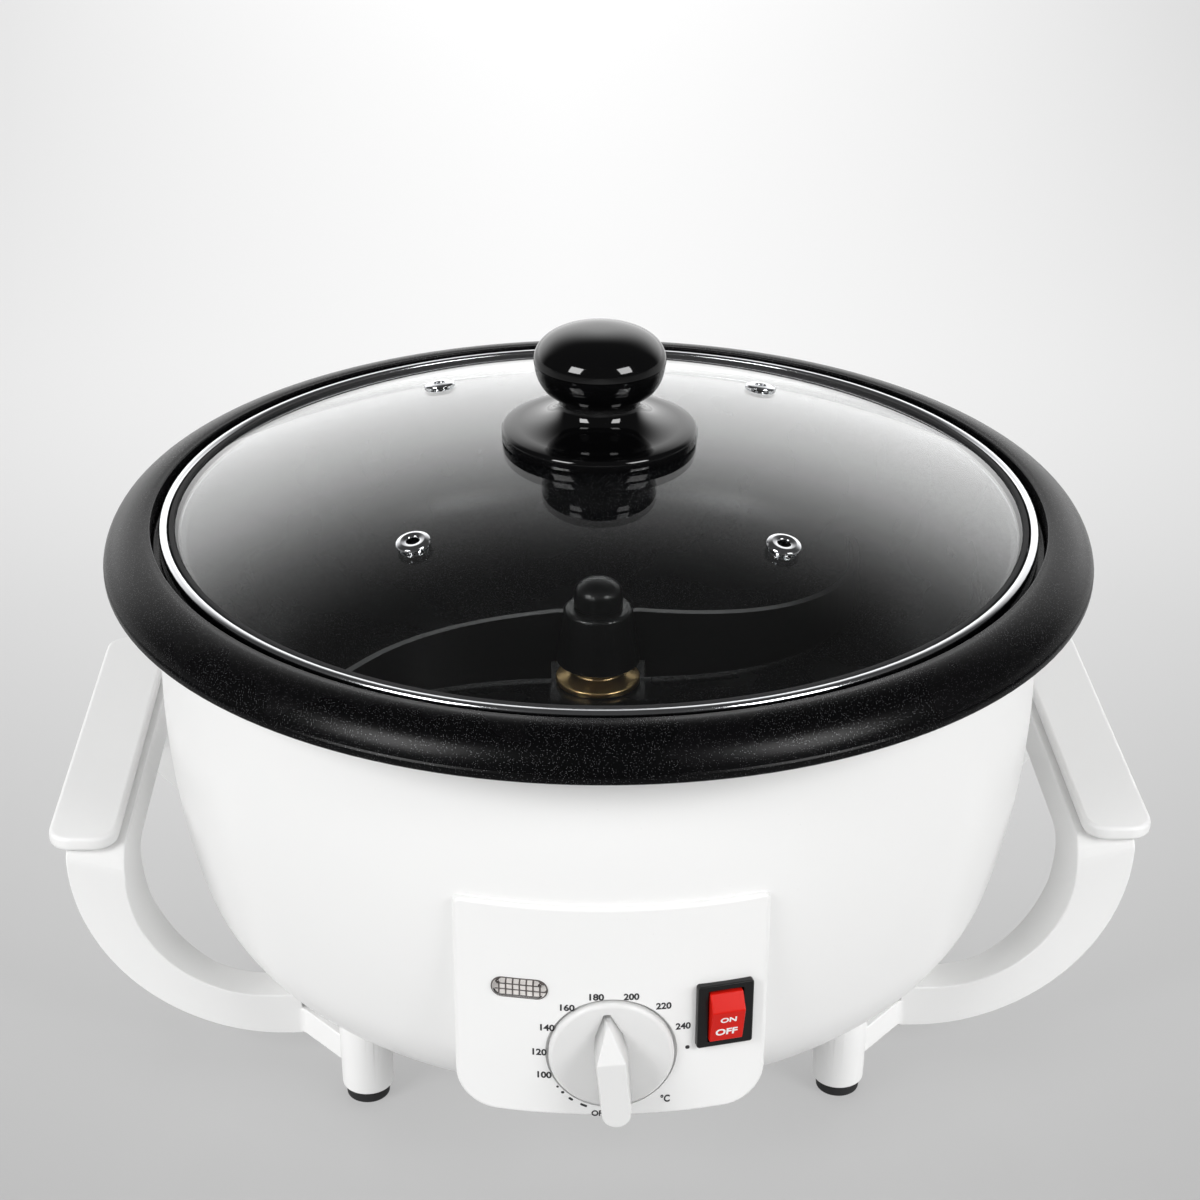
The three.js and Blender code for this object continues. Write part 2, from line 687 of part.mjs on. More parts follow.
const gasket = revolveRing([
  [screwRadius + seatGap, glassHeight(screwRadius) + seatGap],
  [gasketRadius, glassHeight(gasketRadius) + seatGap],
  [gasketRadius, gasketTop],
  [screwRadius + seatGap, gasketTop],
], mediumSides);
piece('knob_gasket', gasket, blackRubber);

const washer = revolveRing([
  [screwRadius + seatGap, washerUnder],
  [washerRadius, washerUnder],
  [washerRadius, washerTop - seatGap],
  [screwRadius + seatGap, washerTop],
], smallSides);
piece('knob_washer', washer, steel);

const knobScrew = revolve([
  [0, screwHeadTop - screwHeadHeight],
  [screwHeadRadius - seatGap, screwHeadTop - screwHeadHeight],
  [screwHeadRadius, screwHeadTop],
  [screwRadius, screwHeadTop],
  [screwRadius, screwTop],
  [0, screwTop],
], tinySides);
piece('knob_screw', knobScrew, steel);

// Temperature dial on the panel's front
const dialProud = 1.2;              // the disc's face stands this far out from the panel
const dialRidgeProud = 10.7;
const dialRidgeHalfWidth = 4.25;
const dialRidgeTip = 14.9;          // reach of the pointer above the dial's centre
const dialRidgeShoulder = 3.5;
const dialRidgeTail = 16.3;
const ridgeTipStep = 1.3;
const ridgeTipRise = 2.8;
const ridgeTipRun = 3;
const ridgeTailRun = 2.5;
const spindleRadius = 3;
const spindleLength = 16;
const dialFront = panelFaceRadius + dialProud;
const dialRidgeFront = panelFaceRadius + dialRidgeProud;
const dialBack = dialRecessFloor + seatGap;
const dialHubBack = recessBack + seatGap;
const spindleFront = dialFront - seatGap;

const ridgePlan = [
  ...arc(0, dialHeight - dialRidgeTail + dialRidgeHalfWidth, dialRidgeHalfWidth, 180, 360, 6),
  [dialRidgeHalfWidth, dialHeight + dialRidgeShoulder],
  [0, dialHeight + dialRidgeTip],
  [-dialRidgeHalfWidth, dialHeight + dialRidgeShoulder],
];
const ridgeSide = [
  [-dialFront + ridgeTipStep, dialHeight - dialRidgeTail],
  [-dialRidgeFront, dialHeight - dialRidgeTail],
  [-dialRidgeFront, dialHeight - dialRidgeTail + ridgeTailRun],
  [-dialFront - ridgeTipRise, dialHeight + dialRidgeTip - ridgeTipRun],
  [-dialFront, dialHeight + dialRidgeTip],
  [-dialFront + ridgeTipStep, dialHeight + dialRidgeTip],
];
const dialRidge = common(
  toSolid(alongY(ridgePlan, -rimRadius, -panelRear)),
  toSolid(alongX(ridgeSide, -dialRadius, dialRadius)),
);
const dial = cut(
  join(
    toSolid(crossBar(0, dialHeight, dialRadius, -dialFront, -dialBack, mediumSides)),
    toSolid(crossBar(0, dialHeight, dialHubRadius, -dialBack, -dialHubBack, smallSides)),
    dialRidge,
  ),
  toSolid(crossBar(0, dialHeight, spindleRadius + seatGap, -dialFront, -panelRear, tinySides)),
);
piece('temperature_dial', dial, whitePlastic);

const spindleBack = spindleFront - spindleLength;
const spindle = toSolid(crossBar(0, dialHeight, spindleRadius, -spindleFront, -spindleBack, tinySides));
piece('dial_spindle', spindle, steel);

// Thermostat behind the panel, with a bore for the spindle
const thermostatPlateRadius = 16;
const thermostatPlate = 1.5;
const thermostatRadius = 12.5;
const thermostatDepth = 16;
const thermostatFront = recessBack - seatGap;
const thermostatBack = thermostatFront - thermostatPlate - thermostatDepth;
const thermostat = cut(
  join(
    toSolid(crossBar(
      0, dialHeight, thermostatPlateRadius, -thermostatFront, -thermostatFront + thermostatPlate, smallSides,
    )),
    toSolid(crossBar(0, dialHeight, thermostatRadius, -thermostatFront, -thermostatBack, smallSides)),
  ),
  toSolid(crossBar(
    0, dialHeight, spindleRadius + runningGap, -rimRadius, -spindleBack + seatGap, tinySides,
  )),
);
piece('thermostat', thermostat, galvanised);

// Indicator lamp: a lens with a retaining flange, and its holder behind it
const lensProud = 1;
const lensFlange = 1.4;
const lensFlangeDepth = 2;
const lampHolderHalfWidth = 6;
const lampHolderHalfHeight = 3.2;
const lampHolderDepth = 13;
const lampGroup = new THREE.Group();
lampGroup.rotation.z = lampTurn;
roaster.add(lampGroup);

const lensFlangeEdge = lensHalfWidth + lensFlange;
const lensFlangeFront = Math.sqrt(panelInside ** 2 - lensFlangeEdge ** 2) - seatGap;
const lensBack = lensFlangeFront - lensFlangeDepth;
const lens = join(
  toSolid(alongY(
    ovalOutline(lensHalfWidth, lensHalfHeight, lampHeight, ovalSteps),
    -panelFaceRadius - lensProud, -lensBack,
  )),
  toSolid(alongY(
    ovalOutline(lensFlangeEdge, lensHalfHeight + lensFlange, lampHeight, ovalSteps),
    -lensFlangeFront, -lensBack,
  )),
);
piece('lamp_lens', lens, lampPlastic, lampGroup);

const lampHolder = toSolid(alongY(
  boxOutline(lampHolderHalfWidth, lampHolderHalfHeight, lampHeight),
  -lensBack + seatGap, -lensBack + seatGap + lampHolderDepth,
));
piece('lamp_holder', lampHolder, blackPlastic, lampGroup);

// Rocker switch: a housing with a bezel, and a rocker on two pins
const rockerHalfWidth = 4.35;
const rockerHalfHeight = 7.6;
const rockerEndGap = 0.7;
const rockerPivotDepth = 2;         // the pins lie this far behind the bezel's face
const rockerSkirt = 4.5;            // the rocker reaches this far behind its pins
const rockerSkirtHalf = 6.2;
const rockerRidge = 2.6;            // height of the fold above the bezel
const rockerRidgeUp = 1.2;
const rockerLowEdge = 1;
const rockerHighEdge = 0.3;
const rockerPinRadius = 0.9;
const rockerPinLength = 1.2;
const rockerPocketDepth = 9;
const housingDepth = 18;
const switchGroup = new THREE.Group();
switchGroup.rotation.z = switchTurn;
roaster.add(switchGroup);

const bezelFace = panelFaceRadius + bezelProud;
const pinDistance = bezelFace - rockerPivotDepth;
const pocketHalfWidth = rockerHalfWidth + seatGap;

// A round bar along X at a distance in front of the axis, on the rocker's centre line
function sideBar(radius, halfLength) {
  return toSolid(bar(radius, -halfLength, halfLength, tinySides)
    .rotateY(Math.PI / 2).translate(0, -pinDistance, switchHeight));
}

const housing = cut(
  join(
    toSolid(alongY(boxOutline(bezelHalfWidth, bezelHalfHeight, switchHeight), -bezelFace, -panelFaceRadius)),
    toSolid(alongY(
      boxOutline(bezelHalfWidth - bezelLip, bezelHalfHeight - bezelLip, switchHeight),
      -bezelFace, -panelFaceRadius + housingDepth,
    )),
  ),
  toSolid(alongY(
    boxOutline(pocketHalfWidth, rockerHalfHeight + rockerEndGap, switchHeight),
    -bezelFace - overrun, -bezelFace + rockerPocketDepth,
  )),
  sideBar(rockerPinRadius + runningGap, rockerHalfWidth + rockerPinLength + runningGap),
);
piece('switch_housing', housing, blackPlastic, switchGroup);

const rockerOutline = [
  [-pinDistance + rockerSkirt, switchHeight - rockerSkirtHalf],
  [-pinDistance, switchHeight - rockerHalfHeight],
  [-bezelFace - rockerLowEdge, switchHeight - rockerHalfHeight],
  [-bezelFace - rockerRidge, switchHeight + rockerRidgeUp],
  [-bezelFace - rockerHighEdge, switchHeight + rockerHalfHeight],
  [-pinDistance, switchHeight + rockerHalfHeight],
  [-pinDistance + rockerSkirt, switchHeight + rockerSkirtHalf],
];
const rocker = join(
  toSolid(alongX(rockerOutline, -rockerHalfWidth, rockerHalfWidth)),
  sideBar(rockerPinRadius, rockerHalfWidth + rockerPinLength),
);
piece('switch_rocker', rocker, redPlastic, switchGroup);

// Drive: gear motor on a three-armed bracket that hangs from the pan on studs
const shaftRadius = 4;
const studCount = 3;
const studInset = 29;               // from the start of the pan's corner in to the studs
const studRadius = 3;
const studNeckRadius = 2.5;
const studShoulderRadius = 5;
const studNutRadius = 4.5;
const studNutHeight = 3.5;
const shieldDrop = 13;              // under the pan's floor
const shieldThickness = 1;
const bracketDrop = 10.2;           // under the heat shield
const bracketThickness = 2;
const bracketHubRadius = 36;
const bracketArmHalf = 8;
const bracketArmPast = 6;           // past the studs' centres
const motorRadius = 27;
const gearboxRadius = 30;
const gearboxHeight = 12;
const motorHeight = 42;
const motorCollarRadius = 7;
const shaftBoreDepth = 8;
const studCircle = cornerX - studInset;
const shieldHeight = panUnder - shieldDrop;
const bracketHeight = shieldHeight - bracketDrop;
const bracketTop = bracketHeight + bracketThickness;
const gearboxTop = bracketHeight - seatGap;
const studShoulderLow = bracketTop + seatGap;
const studShoulderHigh = shieldHeight - seatGap;
const nutTop = bracketHeight - seatGap;
const shaftBottom = bracketTop - shaftBoreDepth;

const studSolid = revolve([
  [0, nutTop - studNutHeight],
  [studNutRadius, nutTop - studNutHeight],
  [studNutRadius, nutTop],
  [studNeckRadius, nutTop],
  [studNeckRadius, studShoulderLow],
  [studShoulderRadius, studShoulderLow],
  [studShoulderRadius, studShoulderHigh],
  [studRadius, studShoulderHigh],
  [studRadius, panUnder - seatGap],
  [0, panUnder - seatGap],
], tinySides);

let bracket = toSolid(bar(bracketHubRadius, bracketHeight, bracketTop, mediumSides));
let shield = revolveRing([
  [shaftHoleRadius, shieldHeight],
  [cornerX, shieldHeight],
  [cornerX + panWall, shieldHeight + 2 * panWall],
  [cornerX + panWall - shieldThickness, shieldHeight + 2 * panWall],
  [cornerX - shieldThickness, shieldHeight + shieldThickness],
  [shaftHoleRadius, shieldHeight + shieldThickness],
], mediumSides);
for (let i = 0; i < studCount; i++) {
  const turn = 2 * Math.PI * (i + 0.25) / studCount;
  const arm = raised([
    [0, -bracketArmHalf],
    ...arc(studCircle + bracketArmPast - bracketArmHalf, 0, bracketArmHalf, -90, 90, 5),
    [0, bracketArmHalf],
  ], bracketHeight, bracketTop).rotateZ(turn);
  bracket = join(bracket, toSolid(arm));
}
for (let i = 0; i < studCount; i++) {
  const turn = 2 * Math.PI * (i + 0.25) / studCount;
  const neckHole = bar(studNeckRadius + seatGap, bracketHeight - overrun, bracketTop + overrun, tinySides);
  const shieldHole = bar(studRadius + seatGap, shieldHeight - overrun, shieldHeight + overrun, tinySides);
  bracket = cut(bracket, toSolid(neckHole.translate(studCircle, 0, 0).rotateZ(turn)));
  shield = cut(shield, toSolid(shieldHole.translate(studCircle, 0, 0).rotateZ(turn)));
  const stud = piece(`pan_stud_${i + 1}`, studSolid, galvanised);
  stud.position.set(studCircle * Math.cos(turn), studCircle * Math.sin(turn), 0);
  stud.rotation.z = turn;
}
bracket = cut(bracket, toSolid(
  bar(motorCollarRadius + seatGap, bracketHeight - overrun, bracketTop + overrun, smallSides),
));
piece('motor_bracket', bracket, galvanised);

const gearMotor = revolve([
  [0, gearboxTop - motorHeight],
  [motorRadius, gearboxTop - motorHeight],
  [motorRadius, gearboxTop - gearboxHeight],
  [gearboxRadius, gearboxTop - gearboxHeight],
  [gearboxRadius, gearboxTop],
  [motorCollarRadius, gearboxTop],
  [motorCollarRadius, bracketTop],
  [shaftRadius + runningGap, bracketTop],
  [shaftRadius + runningGap, shaftBottom],
  [0, shaftBottom],
], smallSides);
piece('gear_motor', gearMotor, galvanised);

// Tubular heating element under the pan's floor, with its two ends turned down through the shield
const elementInset = 13;            // from the start of the pan's corner in to the element
const elementTubeRadius = 3.5;
const elementSides = 6;
const elementOpen = 9;              // degrees each side of the back, between the two ends
const elementTail = 4.8;            // its ends reach this far under the shield
const elementHoleRadius = 5.5;
const elementRunSteps = 30;
const elementCircle = cornerX - elementInset;
const elementHeight = panUnder - seatGap - elementTubeRadius;
const elementLow = shieldHeight - elementTail;

function elementPath() {
  const points = [];
  const at = (degrees, height) => {
    const angle = THREE.MathUtils.degToRad(degrees);
    return new THREE.Vector3(-elementCircle * Math.sin(angle), elementCircle * Math.cos(angle), height);
  };
  const bendDegrees = THREE.MathUtils.radToDeg(elementTubeRadius / elementCircle);
  points.push(at(elementOpen, elementLow));
  points.push(at(elementOpen, elementHeight - 2 * elementTubeRadius));
  points.push(at(elementOpen + bendDegrees, elementHeight - elementTubeRadius / 2));
  const first = elementOpen + 3 * bendDegrees;
  const last = 360 - first;
  for (let i = 0; i <= elementRunSteps; i++) {
    points.push(at(first + (last - first) * i / elementRunSteps, elementHeight));
  }
  points.push(at(360 - elementOpen - bendDegrees, elementHeight - elementTubeRadius / 2));
  points.push(at(360 - elementOpen, elementHeight - 2 * elementTubeRadius));
  points.push(at(360 - elementOpen, elementLow));
  return new THREE.CatmullRomCurve3(points, false, 'centripetal');
}

const tubeOutline = arc(0, 0, elementTubeRadius, 0, 360, elementSides).slice(1);
const tubeShape = new THREE.Shape(tubeOutline.map(([x, y]) => new THREE.Vector2(x, y)));
const elementSteps = 34;
const elementTube = { steps: elementSteps, extrudePath: elementPath() };
const element = toSolid(new THREE.ExtrudeGeometry(tubeShape, elementTube));
piece('heating_element', element, elementMetal);

for (const side of [-1, 1]) {
  const angle = THREE.MathUtils.degToRad(elementOpen) * side;
  const hole = bar(elementHoleRadius, shieldHeight - overrun, shieldHeight + overrun, tinySides);
  shield = cut(shield, toSolid(
    hole.translate(elementCircle * Math.sin(angle), elementCircle * Math.cos(angle), 0),
  ));
}
piece('heat_shield', shield, galvanised);

// Shaft bush through the pan's floor, and the shaft from the gearbox to the stirrer
const bushRadius = 8;
const bushFlangeRadius = 13;
const bushFlange = 2;
const bushRise = 7;                 // above the pan's floor
const bushNutRadius = 11;
const bushNut = 4;
const bushBore = shaftRadius + runningGap;
const bushNutTop = panUnder - seatGap;
const bushTop = panFloorTop + bushRise;
const bush = revolveRing([
  [bushBore, bushNutTop - bushNut],
  [bushNutRadius, bushNutTop - bushNut],
  [bushNutRadius, bushNutTop],
  [bushRadius, bushNutTop],
  [bushRadius, panFloorTop + seatGap],
  [bushFlangeRadius, panFloorTop + seatGap],
  [bushFlangeRadius, panFloorTop + bushFlange],
  [bushRadius, panFloorTop + 2 * bushFlange],
  [bushRadius, bushTop],
  [bushBore, bushTop],
], smallSides);
piece('shaft_bush', bush, brass);

// Stirrer: a hub with two swept blades, held on the shaft by a cap nut
const hubRadius = 13;
const hubTopRadius = 10.5;
const hubHeight = 18;
const capNutRadius = 7.5;
const capNutHeight = 9;
const bladeWallGap = 4;             // between a blade's tip and the pan's wall
const bladeThickness = 2.4;
const bladeHeight = 24;             // at the hub
const bladeTipHeight = 13;
const bladeFloorGap = 1.5;
const bladeSweep = 40;              // degrees that a blade turns between hub and tip
const bladeSteps = 10;
const bladeCount = 2;
const bladeReach = cornerX + panCornerRadius - bladeWallGap;
const hubLow = bushTop + seatGap;
const hubTop = hubLow + hubHeight;
const shaftTop = hubTop + capNutHeight / 2;
const capNutLow = hubTop + seatGap;

function bladePlan() {
  const middle = [];
  for (let i = 0; i <= bladeSteps; i++) {
    const share = i / bladeSteps;
    const turn = THREE.MathUtils.degToRad(bladeSweep * share ** 2);
    middle.push(new THREE.Vector2(share * bladeReach * Math.cos(turn), share * bladeReach * Math.sin(turn)));
  }
  const path = new THREE.SplineCurve(middle);
  const side = (sign) => middle.map((point, i) => {
    const along = path.getTangent(i / bladeSteps);
    const half = sign * bladeThickness / 2;
    return [point.x - along.y * half, point.y + along.x * half];
  });
  return [...side(-1), ...side(1).reverse()];
}

const sweptCorner = arc(cornerX, cornerZ, panCornerRadius - bladeFloorGap, -90, 0, 5);
const bladeEnvelope = revolve([
  [0, panFloorTop + bladeFloorGap],
  ...sweptCorner.filter(([radius]) => radius < bladeReach),
  [bladeReach, panFloorTop + bladeTipHeight + bladeFloorGap],
  [hubRadius, panFloorTop + bladeHeight],
  [0, panFloorTop + bladeHeight],
], largeSides);
const hubSpace = revolve([
  [0, panFloorTop], [bushFlangeRadius + bladeFloorGap, panFloorTop],
  [bushFlangeRadius + bladeFloorGap, bushTop + seatGap], [0, bushTop + seatGap],
], mediumSides);
const blades = [];
for (let i = 0; i < bladeCount; i++) {
  const blade = raised(bladePlan(), panFloorTop, panFloorTop + bladeHeight);
  blades.push(common(toSolid(blade.rotateZ(2 * Math.PI * i / bladeCount)), bladeEnvelope));
}
const stirrer = cut(
  join(
    revolve([[0, hubLow], [hubRadius, hubLow], [hubTopRadius, hubTop], [0, hubTop]], mediumSides),
    ...blades,
  ),
  hubSpace,
  toSolid(bar(shaftRadius + seatGap, panFloorTop, hubTop + overrun, smallSides)),
);
piece('stirrer', stirrer, blackPlastic);

const shaft = toSolid(bar(shaftRadius, shaftBottom + seatGap, shaftTop, smallSides));
piece('drive_shaft', shaft, steel);

const capNut = revolve([
  [0, shaftTop + seatGap],
  [shaftRadius + seatGap, shaftTop + seatGap],
  [shaftRadius + seatGap, capNutLow],
  [capNutRadius, capNutLow],
  [capNutRadius, capNutLow + capNutHeight / 2],
  ...quarter(capNutRadius, capNutLow + capNutHeight / 2, 0, capNutLow + capNutHeight, 4, false).slice(1),
], smallSides);
piece('stirrer_cap_nut', capNut, blackPlastic);

export default roaster;
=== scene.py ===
from math import asin, atan2, cos, degrees, pi, radians, remainder, sin, sqrt, tan
from types import SimpleNamespace

import bmesh
import bpy
from bpy.props import FloatProperty, FloatVectorProperty, PointerProperty
from mathutils import Matrix, Vector


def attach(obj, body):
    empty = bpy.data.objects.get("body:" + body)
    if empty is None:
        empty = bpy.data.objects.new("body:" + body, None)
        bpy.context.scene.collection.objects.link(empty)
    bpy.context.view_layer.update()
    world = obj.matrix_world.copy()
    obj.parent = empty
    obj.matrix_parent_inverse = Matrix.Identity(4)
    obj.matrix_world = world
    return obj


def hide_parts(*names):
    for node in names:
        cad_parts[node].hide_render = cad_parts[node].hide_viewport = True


bl_info = {
    "name": "Coffee bean roaster",
    "version": (1, 0, 0),
    "blender": (4, 5, 0),
    "location": "View3D > Sidebar > Roaster",
    "description": "Builds the visible pieces, finishes and studio of a home coffee bean roaster",
    "category": "Object",
}

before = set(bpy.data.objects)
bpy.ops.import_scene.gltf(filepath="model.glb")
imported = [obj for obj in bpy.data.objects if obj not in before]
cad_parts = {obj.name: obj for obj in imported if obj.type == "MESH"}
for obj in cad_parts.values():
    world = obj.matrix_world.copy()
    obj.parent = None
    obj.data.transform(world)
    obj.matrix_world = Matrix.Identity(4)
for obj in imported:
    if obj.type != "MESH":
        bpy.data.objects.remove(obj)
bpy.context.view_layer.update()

# Sizes below are in millimetres unless a property says otherwise
MM = 0.001
OVERRUN = 5.0
ROUND = 160                    # segments of the large turned pieces
SMALL_ROUND = 64
SHARP = radians(32)


# Outlines

def arc(centre_x, centre_y, radius, start, end, steps):
    """Points of an arc, with its angles in degrees."""
    angles = (radians(start + (end - start) * i / steps) for i in range(steps + 1))
    return [(centre_x + radius * cos(a), centre_y + radius * sin(a)) for a in angles]


def rounded(corners, closed=True, step=radians(15)):
    """The outline through (x, y, radius) corners, with an arc of that radius at each one."""
    points = []
    for i, (x, y, radius) in enumerate(corners):
        here = Vector((x, y))
        if not radius or (not closed and i in (0, len(corners) - 1)):
            points.append((x, y))
            continue
        before = (Vector(corners[i - 1][:2]) - here).normalized()
        after = (Vector(corners[(i + 1) % len(corners)][:2]) - here).normalized()
        half = before.angle(after) / 2
        centre = here + (before + after).normalized() * radius / sin(half)
        first = here + before * radius / tan(half) - centre
        last = here + after * radius / tan(half) - centre
        start = atan2(first.y, first.x)
        sweep = remainder(atan2(last.y, last.x) - start, 2 * pi)
        steps = max(2, round(abs(sweep) / step))
        for k in range(steps + 1):
            angle = start + sweep * k / steps
            points.append((centre.x + radius * cos(angle), centre.y + radius * sin(angle)))
    return points


def rectangle(left, right, low, high):
    return [(left, low), (right, low), (right, high), (left, high)]


def soft_box(half, centre, radius, grow=0.0):
    """A rectangle about (x, y) with rounded corners, from its half sizes."""
    (wide, high), (x, y) = half, centre
    box = rectangle(x - wide - grow, x + wide + grow, y - high - grow, y + high + grow)
    return rounded([(*corner, radius) for corner in box])


# Solids

def turned(profile, segments=ROUND, ring=False):
    """A (radius, height) profile spun about the vertical axis."""
    bm = bmesh.new()
    verts = [bm.verts.new((radius * MM, 0, height * MM)) for radius, height in profile]
    edges = [bm.edges.new(pair) for pair in zip(verts, verts[1:])]
    if ring:
        edges.append(bm.edges.new((verts[-1], verts[0])))
    bmesh.ops.spin(
        bm, geom=verts + edges, cent=(0, 0, 0), axis=(0, 0, 1), angle=2 * pi, steps=segments, use_merge=True,
    )
    bmesh.ops.remove_doubles(bm, verts=bm.verts, dist=0.002 * MM)
    bmesh.ops.recalc_face_normals(bm, faces=bm.faces)
    return bm


def lathe(corners, segments=SMALL_ROUND, ring=False):
    """A solid spun from (radius, height, rounding) corners."""
    return turned(rounded(corners, closed=ring), segments, ring)


def rod(radius, low, high):
    return turned([(0, low), (radius, low), (radius, high), (0, high)], SMALL_ROUND)


def soften(bm, edges, width, segments):
    bmesh.ops.bevel(bm, geom=edges, offset=width * MM, offset_type="OFFSET", segments=segments, profile=0.5,
                    affect="EDGES", material=-1, clamp_overlap=True)


def slab(outline, low, high, bevel=0.0, segments=3, ends=(True, True)):
    """An (x, y) outline raised from low to high, with its end rims rounded."""
    bm = bmesh.new()
    face = bm.faces.new([bm.verts.new((x * MM, y * MM, low * MM)) for x, y in outline])
    raised = bmesh.ops.extrude_face_region(bm, geom=[face])["geom"]
    bmesh.ops.translate(bm, verts=[v for v in raised if isinstance(v, bmesh.types.BMVert)],
                        vec=(0, 0, (high - low) * MM))
    bmesh.ops.recalc_face_normals(bm, faces=bm.faces)
    if bevel:
        heights = [level * MM for level, wanted in zip((low, high), ends) if wanted]
        soften(bm, [e for e in bm.edges if any(
            all(abs(v.co.z - height) < MM / 100 for v in e.verts) for height in heights)], bevel, segments)
    return bm


# An outline's depth points to the front, to the right, or up
TO_FRONT = Matrix(((1, 0, 0, 0), (0, 0, -1, 0), (0, 1, 0, 0), (0, 0, 0, 1)))
TO_RIGHT = Matrix(((0, 0, 1, 0), (1, 0, 0, 0), (0, 1, 0, 0), (0, 0, 0, 1)))


def place(bm, matrix):
    bmesh.ops.transform(bm, matrix=matrix, verts=bm.verts)
    return bm


def at(x, y, z):
    return Matrix.Translation((x * MM, y * MM, z * MM))


def mirrored_x(bm):
    bmesh.ops.scale(bm, vec=(-1, 1, 1), verts=bm.verts)
    bmesh.ops.reverse_faces(bm, faces=bm.faces)
    return bm


def slices(bm, low, high, count):
    """Cuts edges across a solid's width, so that it can follow a curve."""
    for i in range(1, count):
        bmesh.ops.bisect_plane(bm, geom=bm.verts[:] + bm.edges[:] + bm.faces[:], dist=1e-7,
                               plane_co=((low + (high - low) * i / count) * MM, 0, 0), plane_no=(1, 0, 0))


def new_object(name, bm):
    mesh = bpy.data.meshes.new(name)
    bm.to_mesh(mesh)
    bm.free()
    thing = bpy.data.objects.new(name, mesh)
    bpy.context.scene.collection.objects.link(thing)
    return thing


def merged(body, *others, operation="DIFFERENCE"):
    """The body with the other solids cut out of it or joined to it."""
    things = [new_object("solid", bm) for bm in (body, *others)]
    for tool in things[1:]:
        step = things[0].modifiers.new("merge", "BOOLEAN")
        step.operation, step.solver, step.object = operation, "EXACT", tool
    bpy.context.view_layer.update()
    shape = things[0].evaluated_get(bpy.context.evaluated_depsgraph_get())
    result = bmesh.new()
    result.from_mesh(shape.data)
    for thing in things:
        mesh = thing.data
        bpy.data.objects.remove(thing)
        bpy.data.meshes.remove(mesh)
    bmesh.ops.remove_doubles(result, verts=result.verts, dist=0.001 * MM)
    return result


def joined(*parts):
    """Several separate solids in one bmesh."""
    whole = bmesh.new()
    for part in parts:
        mesh = bpy.data.meshes.new("part")
        part.to_mesh(mesh)
        part.free()
        whole.from_mesh(mesh)
        bpy.data.meshes.remove(mesh)
    return whole


def piece(name, bm, finish_name, body="base", node=None, edge_bevel=0.0, even=False):
    """Makes a finished piece of the object that moves with a body and may stand for a CAD node."""
    for face in bm.faces:
        face.smooth = True
    if not edge_bevel:
        for edge in bm.edges:
            edge.smooth = len(edge.link_faces) == 2 and edge.calc_face_angle(0) < SHARP
    thing = new_object(name, bm)
    thing.data.materials.append(bpy.data.materials[finish_name])
    if edge_bevel:
        rim = thing.modifiers.new("edges", "BEVEL")
        rim.width = edge_bevel * MM
        rim.segments = 3
        rim.limit_method = "ANGLE"
        rim.angle_limit = SHARP
        rim.use_clamp_overlap = True
    if edge_bevel or even:
        thing.modifiers.new("shading", "WEIGHTED_NORMAL")
    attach(thing, body)
    if node:
        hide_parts(node)


# Shader nodes

def feed(tree, node, inputs):
    """Sets a node's inputs to values, or links them to sockets."""
    for label, given in inputs.items():
        if isinstance(given, bpy.types.NodeSocket):
            tree.links.new(given, node.inputs[label])
        else:
            node.inputs[label].default_value = given


def add(tree, kind, inputs, **settings):
    node = tree.nodes.new("ShaderNode" + kind)
    for name, setting in settings.items():
        setattr(node, name, setting)
    feed(tree, node, inputs)
    return node


def chain(tree, operation, *values):
    """A math node over sockets or numbers."""
    return add(tree, "Math", dict(enumerate(values)), operation=operation).outputs[0]


def surface_group():
    """Fine grain, slow unevenness and scattered dust specks over any surface."""
    tree = bpy.data.node_groups.new("surface", "ShaderNodeTree")
    for label, value in (("Grain Scale", 2500.0), ("Patch Scale", 22.0), ("Speck Scale", 700.0), ("Speck Size", 0.12)):
        tree.interface.new_socket(label, in_out="INPUT", socket_type="NodeSocketFloat").default_value = value
    for label in ("Grain", "Patch", "Speck"):
        tree.interface.new_socket(label, in_out="OUTPUT", socket_type="NodeSocketFloat")
    given = tree.nodes.new("NodeGroupInput").outputs
    spot = add(tree, "TexCoord", {}).outputs["Object"]
    grain = add(tree, "TexNoise", {"Vector": spot, "Scale": given["Grain Scale"]})
    patch = add(tree, "TexNoise", {"Vector": spot, "Scale": given["Patch Scale"], "Detail": 4.0})
    speck = add(tree, "TexVoronoi", {"Vector": spot, "Scale": given["Speck Scale"]}).outputs
    near = add(tree, "MapRange", {"Value": speck["Distance"], "From Min": 0.0, "From Max": given["Speck Size"],
                                  "To Min": 1.0, "To Max": 0.0})
    cell = add(tree, "SeparateColor", {"Color": speck["Color"]})
    rare = chain(tree, "GREATER_THAN", cell.outputs["Red"], EMPTY_CELLS)
    feed(tree, tree.nodes.new("NodeGroupOutput"), {
        "Grain": grain.outputs["Fac"], "Patch": patch.outputs["Fac"],
        "Speck": chain(tree, "MULTIPLY", near.outputs["Result"], rare),
    })


def tone(color, share=1.0):
    return (*(channel * share for channel in color[:3]), 1.0)


